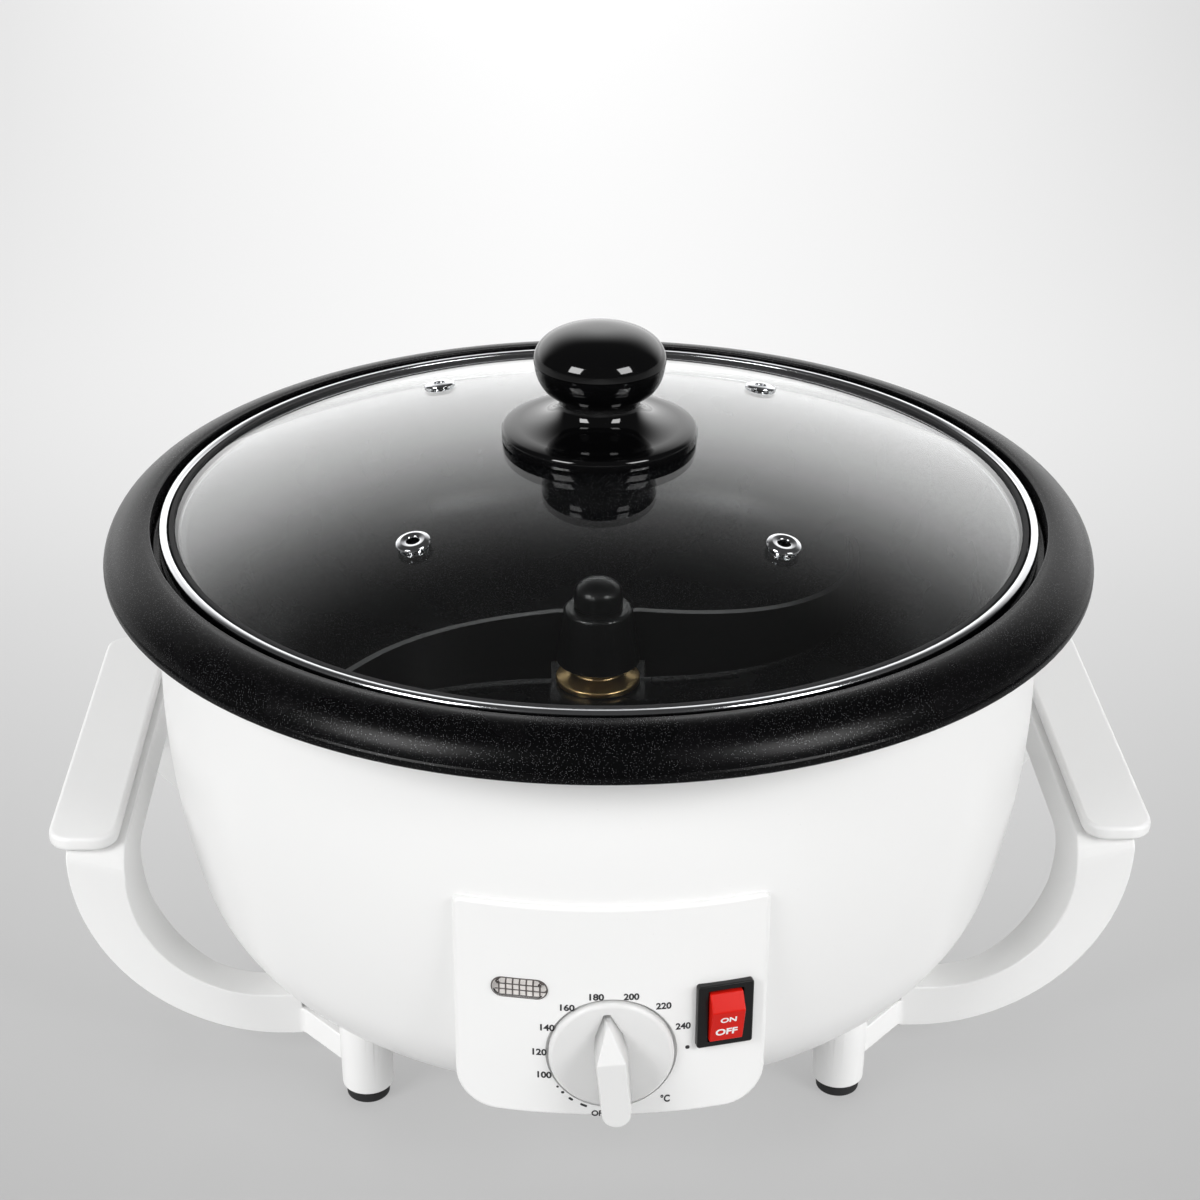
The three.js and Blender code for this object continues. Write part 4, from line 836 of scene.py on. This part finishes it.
class ROASTER_OT_lamp(bpy.types.Operator):
    """Indicator lamp's lens"""
    bl_idname = "roaster.lamp"
    bl_label = "Lamp"

    def execute(self, context):
        face = sizes_of(context).face_radius
        low = face - 1.3
        half_width, half_height = LENS_HALF
        # Thin dark bars behind the clear lens, as painted shade of the lines between its prism cells
        painted_shade_lines = []
        for across in [i * SHADE_LINE_PITCH for i in range(-SHADE_LINE_COUNT, SHADE_LINE_COUNT + 1)]:
            past_flat = max(abs(across) - half_width + half_height, 0)
            reach = sqrt(max((half_height - SHADE_LINE_INSET) ** 2 - past_flat ** 2, 0.1))
            painted_shade_lines.append(slab(rectangle(across - 0.2, across + 0.2, LAMP_Z - reach, LAMP_Z + reach), low, face - 1.0))
        for z, reach in [(LAMP_Z + up, half_width - 0.8) for up in (-0.85, 0.85)]:
            painted_shade_lines.append(slab(rectangle(-reach, reach, z - 0.16, z + 0.16), low, face - 0.95))
        solids = {
            "lens": (slab(lens_outline(), face + LENS_DEPTH[0], face + LENS_DEPTH[1], bevel=0.8, segments=4,
                          ends=(False, True)), "lamp plastic", "lamp_lens"),
            "lens_back": (slab(lens_outline(-0.35), face - 1.6, face - 1.1), "lamp white", None),
            "lens_painted_shade_lines": (joined(*painted_shade_lines), "lamp dark lines", None),
            "lens_edge": (merged(slab(lens_outline(0.33), face - 1.5, face + 0.1),
                                 slab(lens_outline(0.08), face - 2.0, face + 1.0)), "lamp dark lines", None),
        }
        for name, (solid, finish_name, node) in solids.items():
            place(solid, square_to_face(LAMP_X, face) @ TO_FRONT)
            piece(name, solid, finish_name, node=node, even=bool(node))
        return {"FINISHED"}


class ROASTER_OT_switch(bpy.types.Operator):
    """Rocker switch in its housing"""
    bl_idname = "roaster.switch"
    bl_label = "Switch"

    def execute(self, context):
        face = sizes_of(context).face_radius
        bezel_face = face + BEZEL_PROUD
        turn = square_to_face(SWITCH_X, face)
        centre = (0, SWITCH_Z)
        bezel = slab(soft_box(BEZEL_HALF, centre, 0.8), face - 0.6, bezel_face, bevel=0.5, ends=(False, True))
        well = slab(soft_box(BEZEL_HALF, centre, 0.3, -1.4), face - WELL_DEPTH, face - 0.5)
        pocket = slab(soft_box((ROCKER_HALF[0] + 0.3, ROCKER_HALF[1] + 0.7), centre, 0.3), face - POCKET_DEPTH,
                      bezel_face + OVERRUN)
        body = merged(merged(bezel, well, operation="UNION"), pocket)
        piece("switch_frame", place(body, turn @ TO_FRONT), "black plastic", node="switch_housing", edge_bevel=0.15)

        pivot = bezel_face - 2.0
        low, high = SWITCH_Z - ROCKER_HALF[1], SWITCH_Z + ROCKER_HALF[1]
        profile = rounded([
            (SWITCH_Z - 6.2, pivot - 4.5, 0.3), (low, pivot, 0.4), (low, bezel_face + ROCKER_LOW, 0.5),
            (SWITCH_Z + FOLD_UP, bezel_face + FOLD_PROUD, 0.9), (high, bezel_face + 0.3, 0.5), (high, pivot, 0.4),
            (SWITCH_Z + 6.2, pivot - 4.5, 0.3),
        ])
        rocker = slab([(-depth, height) for height, depth in profile], -ROCKER_HALF[0], ROCKER_HALF[0], bevel=0.35)
        piece("rocker", place(rocker, turn @ TO_RIGHT), "rocker plastic", "rocker", "switch_rocker", even=True)
        slope = atan2(FOLD_PROUD - ROCKER_LOW, FOLD_UP + ROCKER_HALF[1])
        for words, width, height, across, rise in (("ON", 4.5, 1.8, 0.0, 7.75), ("OFF", 6.1, 2.4, -0.2, 3.4)):
            letters = lettering(words, width, height)
            spot = at(across, -(bezel_face + ROCKER_LOW + rise * tan(slope)), low + rise)
            place(letters, turn @ spot @ Matrix.Rotation(pi / 2 + slope, 4, "X"))
            piece(f"rocker_{words.lower()}", letters, "white ink", "rocker")
        return {"FINISHED"}


# Handles and feet

ARM_OUTER = (94.5, 72.2, 61.1)
ARM_INNER = (99.5, 64.2, 39.3)
ARM_END = 89.8
ARM_DEPTH_LOW = 12.0
ARM_DEPTH_HIGH = 22.0
GRIP_TOP = 75.7
CAP = (140.9, 160.9, 76.0, 80.5)
CAP_CORNER = 7.0
WEB_LOW = 11.6
WEB_HIGH = 20.3
FOOT = (70.0, 77.0)
POST_RADIUS = (7.5, 7.85)
FOOT_RADIUS = 6.55
FOOT_HEIGHT = 3.4
STRAIGHT_SHARE = 0.06          # shares of an arm's length that lie below and above its curve
UPRIGHT_SHARE = 0.93


def arm_place(along, through):
    """The (x, z) place in an arm, from its inner end to the grip's top and from its outer to its inner curve."""
    sides = []
    for centre_x, centre_z, radius in (ARM_OUTER, ARM_INNER):
        if along < STRAIGHT_SHARE:
            sides.append(Vector((ARM_END + (centre_x - ARM_END) * along / STRAIGHT_SHARE, centre_z - radius)))
        elif along < UPRIGHT_SHARE:
            angle = pi / 2 * (along - STRAIGHT_SHARE) / (UPRIGHT_SHARE - STRAIGHT_SHARE)
            sides.append(Vector((centre_x + radius * sin(angle), centre_z - radius * cos(angle))))
        else:
            share = (along - UPRIGHT_SHARE) / (1 - UPRIGHT_SHARE)
            sides.append(Vector((centre_x + radius, centre_z + (GRIP_TOP - centre_z) * share)))
    return sides[0].lerp(sides[1], through)


ARM_RUN = 100.0
ARM_THICK = 14.0
HAND_TOP_SHARE = 0.9
ARM_SLICES = 50
POST_TOP = 26.0
FOOT_PLUG = (3.0, 5.0)         # radius and height of a foot's plug in its post
BLOCK_TOP = 120.0
BLOCK_SKIN = 0.4


def arms(half_length):
    """Front and rear arm and the grip between them: a flat arch that is bent along the arms' curve."""
    low, high = half_length - ARM_DEPTH_LOW, half_length - ARM_DEPTH_HIGH
    hand_top = HAND_TOP_SHARE * ARM_RUN
    outline = rounded([
        (0, -half_length, 0.5), (ARM_RUN, -half_length, 6.0), (ARM_RUN, half_length, 6.0), (0, half_length, 0.5),
        (0, low, 0.5), (0.30 * ARM_RUN, low - 0.5, 14.0), (0.72 * ARM_RUN, high + 1, 10.0), (hand_top, high - 6, 9.0),
        (hand_top, -high + 6, 9.0), (0.72 * ARM_RUN, -high - 1, 10.0), (0.30 * ARM_RUN, -low + 0.5, 14.0),
        (0, -low, 0.5),
    ], step=radians(10))
    bm = slab(outline, 0, ARM_THICK, bevel=1.2, segments=4)
    slices(bm, 0, ARM_RUN, ARM_SLICES)
    for vert in bm.verts:
        along = min(max(vert.co.x / MM / ARM_RUN, 0), 1)
        spot = arm_place(along, vert.co.z / MM / ARM_THICK)
        vert.co = Vector((spot.x * MM, vert.co.y, spot.y * MM))
    bmesh.ops.recalc_face_normals(bm, faces=bm.faces)
    return bm


def side_frame(half_length):
    front_low = half_length - ARM_DEPTH_LOW
    quarter = [(ARM_OUTER[0], front_low, 0.5), (ARM_OUTER[0], half_length, 0.5), (ARM_END, half_length, 3.0),
               (78.0, FOOT[1], 2.0), (FOOT[0], FOOT[1] + 2, 2.0), (62.0, 42.0, 3.0)]
    mirrored = [(x, -y, radius) for x, y, radius in quarter[::-1]]
    base = slab(rounded([*quarter, *mirrored, (80.0, -42.0, 8.0), (80.0, 42.0, 8.0)]), WEB_LOW, WEB_HIGH,
                bevel=1.2, segments=3)
    foot_top = FOOT_HEIGHT + SEAT_GAP
    posts = [place(lathe([
        (0, foot_top, 0), (POST_RADIUS[0], foot_top, 0.8), (POST_RADIUS[1], POST_TOP, 0), (0, POST_TOP, 0),
    ]), at(FOOT[0], end * FOOT[1], 0)) for end in (1, -1)]
    return merged(arms(half_length), base, *posts, operation="UNION")


def bowl_block(size):
    """The bowl's outer form as a solid, a hair inside its skin."""
    return turned([(0, size.bowl_bottom + BLOCK_SKIN), *bowl_curve(size, -BLOCK_SKIN, BLOCK_TOP, 24, 30),
                   (0, BLOCK_TOP)])


class ROASTER_OT_handles(bpy.types.Operator):
    """Side frames with their grip caps and rubber feet"""
    bl_idname = "roaster.handles"
    bl_label = "Handles and feet"

    def execute(self, context):
        size = sizes_of(context)
        half = size.grip_length
        inner, outer, low, high = CAP
        plug, plug_high = FOOT_PLUG
        for side, sign in (("right", 1), ("left", -1)):
            body = merged(side_frame(half), bowl_block(size))
            cap = slab(soft_box(((outer - inner) / 2, half + 0.1), ((outer + inner) / 2, 0), CAP_CORNER), low, high,
                       bevel=1.3, segments=4)
            if sign < 0:
                body, cap = mirrored_x(body), mirrored_x(cap)
            piece(f"frame_{side}", body, "white plastic", node=f"side_frame_{side}", even=True)
            piece(f"cap_{side}", cap, "white plastic", node=f"grip_cap_{side}", even=True)
            for spot, end in (("front", -1), ("rear", 1)):
                foot = lathe([
                    (0, 0, 0), (FOOT_RADIUS - 0.3, 0, 0.5), (FOOT_RADIUS, FOOT_HEIGHT, 0.4), (plug, FOOT_HEIGHT, 0),
                    (plug, FOOT_HEIGHT + plug_high, 0.5), (0, FOOT_HEIGHT + plug_high, 0),
                ])
                place(foot, at(sign * FOOT[0], end * FOOT[1], 0))
                piece(f"rubber_foot_{spot}_{side}", foot, "black rubber", node=f"foot_{spot}_{side}")
        return {"FINISHED"}


# Underside and rear

PLATE_RADIUS = 60.0
PLATE_UNDER = 13.2
PLATE_TOP = 15.7
VENT = (22.0, 44.0, 2.5)
VENT_COUNT = 12
PLATE_SCREW_CIRCLE = 56.0
PLATE_SCREW_HOLE = 1.8
SCREW_HEAD_RADIUS = 3.2
FRAME_SCREWS = (71.0, 30.0)


class ROASTER_OT_underside(bpy.types.Operator):
    """Base plate with its vents, and the screws of the plate and the side frames"""
    bl_idname = "roaster.underside"
    bl_label = "Underside"

    def execute(self, context):
        inner, outer, half = VENT
        vent = arc(outer - half, 0, half, -90, 90, 12) + arc(inner + half, 0, half, 90, 270, 12)
        cuts = [place(slab(vent, 0, 30), Matrix.Rotation(2 * pi * i / VENT_COUNT, 4, "Z"))
                for i in range(VENT_COUNT)]
        quarters = [pi * (i + 0.5) / 2 for i in range(4)]
        spots = [(PLATE_SCREW_CIRCLE * cos(turn), PLATE_SCREW_CIRCLE * sin(turn)) for turn in quarters]
        cuts += [slab(arc(x, y, PLATE_SCREW_HOLE, 0, 337.5, 15), 0, 30) for x, y in spots]
        plate = merged(slab(arc(0, 0, PLATE_RADIUS, 0, 357.5, 143), PLATE_UNDER, PLATE_TOP), joined(*cuts))
        piece("plate", plate, "white plastic", node="base_plate", edge_bevel=0.4)
        screws = [pan_head_screw(SCREW_HEAD_RADIUS, PLATE_UNDER, at(x, y, 0)) for x, y in spots]
        across, along = FRAME_SCREWS
        screws += [pan_head_screw(SCREW_HEAD_RADIUS, WEB_LOW, at(sx * across, sy * along, 0))
                   for sx in (-1, 1) for sy in (-1, 1)]
        piece("underside_screws", joined(*screws), "zinc plate")
        return {"FINISHED"}


GLAND = (119.0, 122.0, 135.0)
GLAND_COLLAR = 9.0
GLAND_BORE = 3.2


class ROASTER_OT_gland(bpy.types.Operator):
    """Cord gland at the rear, with its empty bore"""
    bl_idname = "roaster.gland"
    bl_label = "Cord gland"

    def execute(self, context):
        inside, collar_in, outside = GLAND
        collar = lathe([(GLAND_RADIUS - 1, collar_in, 0), (GLAND_COLLAR, collar_in, 0), (GLAND_COLLAR, outside, 1.3),
                        (GLAND_RADIUS - 1, outside, 0)], ring=True)
        tube = lathe([(GLAND_BORE, inside, 0.4), (GLAND_RADIUS, inside, 0.5), (GLAND_RADIUS, outside, 0),
                      (GLAND_BORE, outside, 0.9)], ring=True)
        collar = merged(place(collar, GLAND_PLACE), bowl_block(sizes_of(context)))
        gland = merged(collar, place(tube, GLAND_PLACE), operation="UNION")
        piece("gland", gland, "black rubber", node="cord_gland", even=True)
        return {"FINISHED"}


# Stirrer and drive

SHAFT_RADIUS = 4.0
BUSH = (8.0, 13.0, 11.0)
BUSH_NUT = 4.0
BUSH_FLANGE = 2.0
BUSH_RISE = 7.0
HUB = (13.0, 10.5, 18.0)
CAP_NUT = (7.5, 9.0)
BLADE_THICK = 2.4
BLADE_START = 5.0              # inside the hub and outside the shaft's hole
BLADE_HIGH = (24.0, 13.0)
BLADE_FLOOR_GAP = 1.5
BLADE_WALL_GAP = 4.0
BLADE_SWEEP = radians(40)
BLADE_STEPS = 32


def blade_plan(reach):
    """Outline of a blade that sweeps back towards its tip."""
    shares = [i / BLADE_STEPS for i in range(BLADE_STEPS + 1)]
    middle = [Vector((s * reach * cos(BLADE_SWEEP * s ** 2), s * reach * sin(BLADE_SWEEP * s ** 2)))
              for s in shares]
    sides = []
    for sign in (-1, 1):
        side = []
        for i, spot in enumerate(middle):
            run = (middle[min(i + 1, BLADE_STEPS)] - middle[max(i - 1, 0)]).normalized()
            side.append(spot + Vector((-run.y, run.x)) * sign * BLADE_THICK / 2)
        sides.append(side)
    return [tuple(p) for p in sides[0] + sides[1][::-1]]


class ROASTER_OT_stirrer(bpy.types.Operator):
    """Stirrer with its cap nut, and the bush under it"""
    bl_idname = "roaster.stirrer"
    bl_label = "Stirrer"

    def execute(self, context):
        floor = sizes_of(context).pan_floor
        bore = SHAFT_RADIUS + SEAT_GAP
        radius, flange, nut = BUSH
        under = floor - PAN_WALL - SEAT_GAP
        top = floor + BUSH_RISE
        bush = lathe([
            (bore, under - BUSH_NUT, 0.3), (nut, under - BUSH_NUT, 0.6), (nut, under, 0.2), (radius, under, 0),
            (radius, floor + SEAT_GAP, 0), (flange, floor + SEAT_GAP, 0.3), (flange, floor + BUSH_FLANGE, 0.6),
            (radius, floor + 2 * BUSH_FLANGE, 0.8), (radius, top, 0.6), (bore, top, 0.3),
        ], ring=True)
        piece("bush", bush, "machined brass", node="shaft_bush")

        hub_wide, hub_top_wide, hub_height = HUB
        hub_low = top + SEAT_GAP
        hub_top = hub_low + hub_height
        corner_z = floor + PAN_CORNER
        reach = PAN_CORNER_X + PAN_CORNER - BLADE_WALL_GAP
        high, tip = BLADE_HIGH
        swept = [p for p in arc(PAN_CORNER_X, corner_z, PAN_CORNER - BLADE_FLOOR_GAP, -90, 0, 30) if p[1] < floor + tip]
        shape = turned([(BLADE_START, floor + BLADE_FLOOR_GAP), *swept, (reach, floor + tip + BLADE_FLOOR_GAP),
                        (hub_wide, floor + high), (BLADE_START, floor + high)], ring=True)
        blade = merged(slab(blade_plan(reach), floor, floor + high + 1), shape, operation="INTERSECT")
        blade = merged(blade, rod(flange + BLADE_FLOOR_GAP, floor - 1, hub_low))
        other = place(blade.copy(), Matrix.Rotation(pi, 4, "Z"))
        hub = lathe([(0, hub_low, 0), (hub_wide, hub_low, 0.8), (hub_top_wide, hub_top, 1.5), (0, hub_top, 0)])
        body = merged(merged(hub, blade, other, operation="UNION"), rod(bore, floor, hub_top + OVERRUN))
        piece("paddle", body, "black plastic", "stirrer", "stirrer", edge_bevel=0.5)

        nut_wide, nut_high = CAP_NUT
        shaft_top = hub_top + nut_high / 2
        nut_low = hub_top + SEAT_GAP
        dome = [(nut_wide * cos(radians(a)), nut_low + nut_high / 2 * (1 + sin(radians(a))))
                for a in range(0, 90, 6)]
        cap = turned([
            (0, shaft_top + SEAT_GAP), (bore, shaft_top + SEAT_GAP), (bore, nut_low), (nut_wide - 0.4, nut_low),
            (nut_wide, nut_low + 0.4), *dome, (0, nut_low + nut_high),
        ], SMALL_ROUND)
        piece("cap_nut", cap, "black plastic", "stirrer", "stirrer_cap_nut")
        return {"FINISHED"}


class ROASTER_OT_drive(bpy.types.Operator):
    """Finishes of the motor, heater and other pieces that the housing hides"""
    bl_idname = "roaster.drive"
    bl_label = "Drive and heater"

    def execute(self, context):
        finishes = {
            "black plastic": ("lamp_holder",),
            "polished steel": ("drive_shaft", "dial_spindle"),
            "zinc plate": ("pan_stud_1", "pan_stud_2", "pan_stud_3", "motor_bracket", "gear_motor", "heat_shield",
                           "thermostat"),
            "element sheath": ("heating_element",),
        }
        for finish_name, nodes in finishes.items():
            for node in nodes:
                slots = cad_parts[node].data.materials
                slots.clear()
                slots.append(bpy.data.materials[finish_name])
        return {"FINISHED"}


# Stage

FRAME_PIXELS = 1200
FOCAL_PIXELS = 2474.17
SENSOR = 36.0
CAMERA_DISTANCE = 753.42
CAMERA_TILT = radians(26.46)
CAMERA_YAW = radians(1.83)
CAMERA_ROLL = radians(0.37)
TARGET_HEIGHT = 124.2
AXIS_PIXEL = 598.38


LIGHT_AIM = Vector((0, 0, 0.1))
# (name, place, width, height, power, seen in glossy and clear pieces), in metres and watts
LIGHTS = (
    ("front left box", (-1.05, -0.98, 0.95), 0.6, 0.7, 15.0, True),
    ("front right box", (1.02, -1.0, 0.95), 0.6, 0.7, 13.5, True),
    ("front fill", (0.0, -1.8, 0.55), 2.4, 1.0, 8.0, False),
    ("top fill", (0.0, 0.2, 1.7), 1.6, 1.2, 6.5, False),
    ("left fill", (-1.9, -0.5, 0.45), 1.2, 0.8, 13.0, False),
    ("right fill", (1.9, -0.5, 0.45), 1.2, 0.8, 14.0, False),
)
FLOOR_SIZE = 30.0
FLOOR_GLOW = 0.64              # how much of the floor's white is its own
FLOOR_DIFFUSE = 0.30
BAND_STRENGTH = 1.6
SKY_STRENGTH = 0.06
FAR = 100.0
# (start, end, value at the start, value at the end) along the floor to the rear, up the sky and round to its rear
FLOOR_FADE = (-0.45, 0.55, 0.42, 1.0)
SKY_FADE = (0.3, 0.8, BAND_STRENGTH, 0.0)
REAR_FADE = (0.35, 0.85, 0.0, 1.0)
# Painted shade: the floor darkens to its sides by this much per metre to this power, and no further than this share
SIDE_FALL = -1.05
SIDE_POWER = 1.5
SIDE_LEAST = 0.5


def staged(scene, name, data, eye, aim, roll=0.0):
    """A camera or light that looks from a place at another."""
    thing = bpy.data.objects.new(name, data)
    scene.collection.objects.link(thing)
    turn = (Vector(aim) - Vector(eye)).to_track_quat("-Z", "Y").to_matrix().to_4x4() @ Matrix.Rotation(roll, 4, "Z")
    thing.matrix_world = Matrix.Translation(eye) @ turn
    return thing


def add_camera(scene):
    camera = bpy.data.cameras.new("camera")
    camera.sensor_width = SENSOR
    camera.lens = SENSOR * FOCAL_PIXELS / FRAME_PIXELS
    camera.shift_x = (FRAME_PIXELS / 2 - AXIS_PIXEL) / FRAME_PIXELS
    camera.clip_end = FAR
    reach = CAMERA_DISTANCE * cos(CAMERA_TILT)
    eye = Vector((-reach * sin(CAMERA_YAW), -reach * cos(CAMERA_YAW),
                  TARGET_HEIGHT + CAMERA_DISTANCE * sin(CAMERA_TILT))) * MM
    scene.camera = staged(scene, "camera", camera, eye, (0, 0, TARGET_HEIGHT * MM), CAMERA_ROLL)


def add_light(scene, name, spot, width, height, power, seen):
    light = bpy.data.lights.new(name, "AREA")
    light.shape = "RECTANGLE"
    light.size, light.size_y, light.energy = width, height, power
    thing = staged(scene, name, light, spot, LIGHT_AIM)
    thing.visible_glossy = thing.visible_transmission = seen


def fade(tree, value, start, end, first, last):
    """Goes smoothly from first to last while the value goes from start to end."""
    return add(tree, "MapRange", {"Value": value, "From Min": start, "From Max": end, "To Min": first, "To Max": last},
               interpolation_type="SMOOTHSTEP").outputs["Result"]


def directions(tree, output):
    return add(tree, "SeparateXYZ", {0: add(tree, "TexCoord", {}).outputs[output]}).outputs


def add_floor():
    """A pale floor that is whitest behind the object and glows a little, so that shadows stay soft. Its darkening to
    the front and to the sides is painted shade.
    """
    bm = bmesh.new()
    bmesh.ops.create_grid(bm, x_segments=1, y_segments=1, size=FLOOR_SIZE)
    floor = new_object("floor", bm)
    material = bpy.data.materials.new("studio floor")
    material.use_nodes = True
    tree = material.node_tree
    spot = directions(tree, "Object")
    aside = chain(tree, "POWER", chain(tree, "ABSOLUTE", spot["X"]), SIDE_POWER)
    side = chain(tree, "MAXIMUM", chain(tree, "MULTIPLY_ADD", aside, SIDE_FALL, 1.0), SIDE_LEAST)
    # The floor's painted shade: darker to the front and to the sides
    white = chain(tree, "MULTIPLY", fade(tree, spot["Y"], *FLOOR_FADE), side)
    feed(tree, tree.nodes["Principled BSDF"], {
        "Base Color": chain(tree, "MULTIPLY", white, FLOOR_DIFFUSE), "Emission Color": white,
        "Emission Strength": FLOOR_GLOW, "Roughness": 0.15, "Specular IOR Level": 0.06,
    })
    floor.data.materials.append(material)


def add_world(scene):
    """A dim room with a bright wall behind the object that fades out above."""
    world = bpy.data.worlds.new("studio")
    world.use_nodes = True
    tree = world.node_tree
    way = directions(tree, "Generated")
    wall = chain(tree, "MULTIPLY", fade(tree, way["Z"], *SKY_FADE), fade(tree, way["Y"], *REAR_FADE))
    feed(tree, tree.nodes["Background"], {
        "Color": (1.0, 1.0, 1.0, 1.0), "Strength": chain(tree, "ADD", wall, SKY_STRENGTH),
    })
    scene.world = world


class ROASTER_OT_stage(bpy.types.Operator):
    """Floor, studio light and camera"""
    bl_idname = "roaster.stage"
    bl_label = "Stage"

    def execute(self, context):
        scene = context.scene
        scene.view_settings.view_transform = "Standard"
        add_camera(scene)
        add_floor()
        add_world(scene)
        for light in LIGHTS:
            add_light(scene, *light)
        return {"FINISHED"}


class ROASTER_OT_materials(bpy.types.Operator):
    """All finishes"""
    bl_idname = "roaster.materials"
    bl_label = "Materials"

    def execute(self, context):
        make_materials(context.scene.roaster_colors)
        return {"FINISHED"}


OPERATORS = (
    ROASTER_OT_stage, ROASTER_OT_materials, ROASTER_OT_bowl, ROASTER_OT_pan, ROASTER_OT_lid, ROASTER_OT_knob,
    ROASTER_OT_panel, ROASTER_OT_dial, ROASTER_OT_lamp, ROASTER_OT_switch, ROASTER_OT_handles,
    ROASTER_OT_underside, ROASTER_OT_gland, ROASTER_OT_stirrer, ROASTER_OT_drive,
)


class ROASTER_PT_build(bpy.types.Panel):
    """Steps that build the roaster"""
    bl_idname = "ROASTER_PT_build"
    bl_label = "Roaster"
    bl_space_type = "VIEW_3D"
    bl_region_type = "UI"
    bl_category = "Roaster"

    def draw(self, context):
        for group in (context.scene.roaster_sizes, context.scene.roaster_colors):
            for name in group.__annotations__:
                self.layout.prop(group, name)
        for operator in OPERATORS:
            self.layout.operator(operator.bl_idname)


CLASSES = (RoasterColors, RoasterSizes, *OPERATORS, ROASTER_PT_build)


def register():
    for item in CLASSES:
        bpy.utils.register_class(item)
    bpy.types.Scene.roaster_colors = PointerProperty(type=RoasterColors)
    bpy.types.Scene.roaster_sizes = PointerProperty(type=RoasterSizes)


def unregister():
    del bpy.types.Scene.roaster_colors
    del bpy.types.Scene.roaster_sizes
    for item in reversed(CLASSES):
        bpy.utils.unregister_class(item)


def main():
    register()
    for operator in OPERATORS:
        getattr(bpy.ops.roaster, operator.bl_idname.split(".")[1])()


if __name__ == "__main__":
    main()
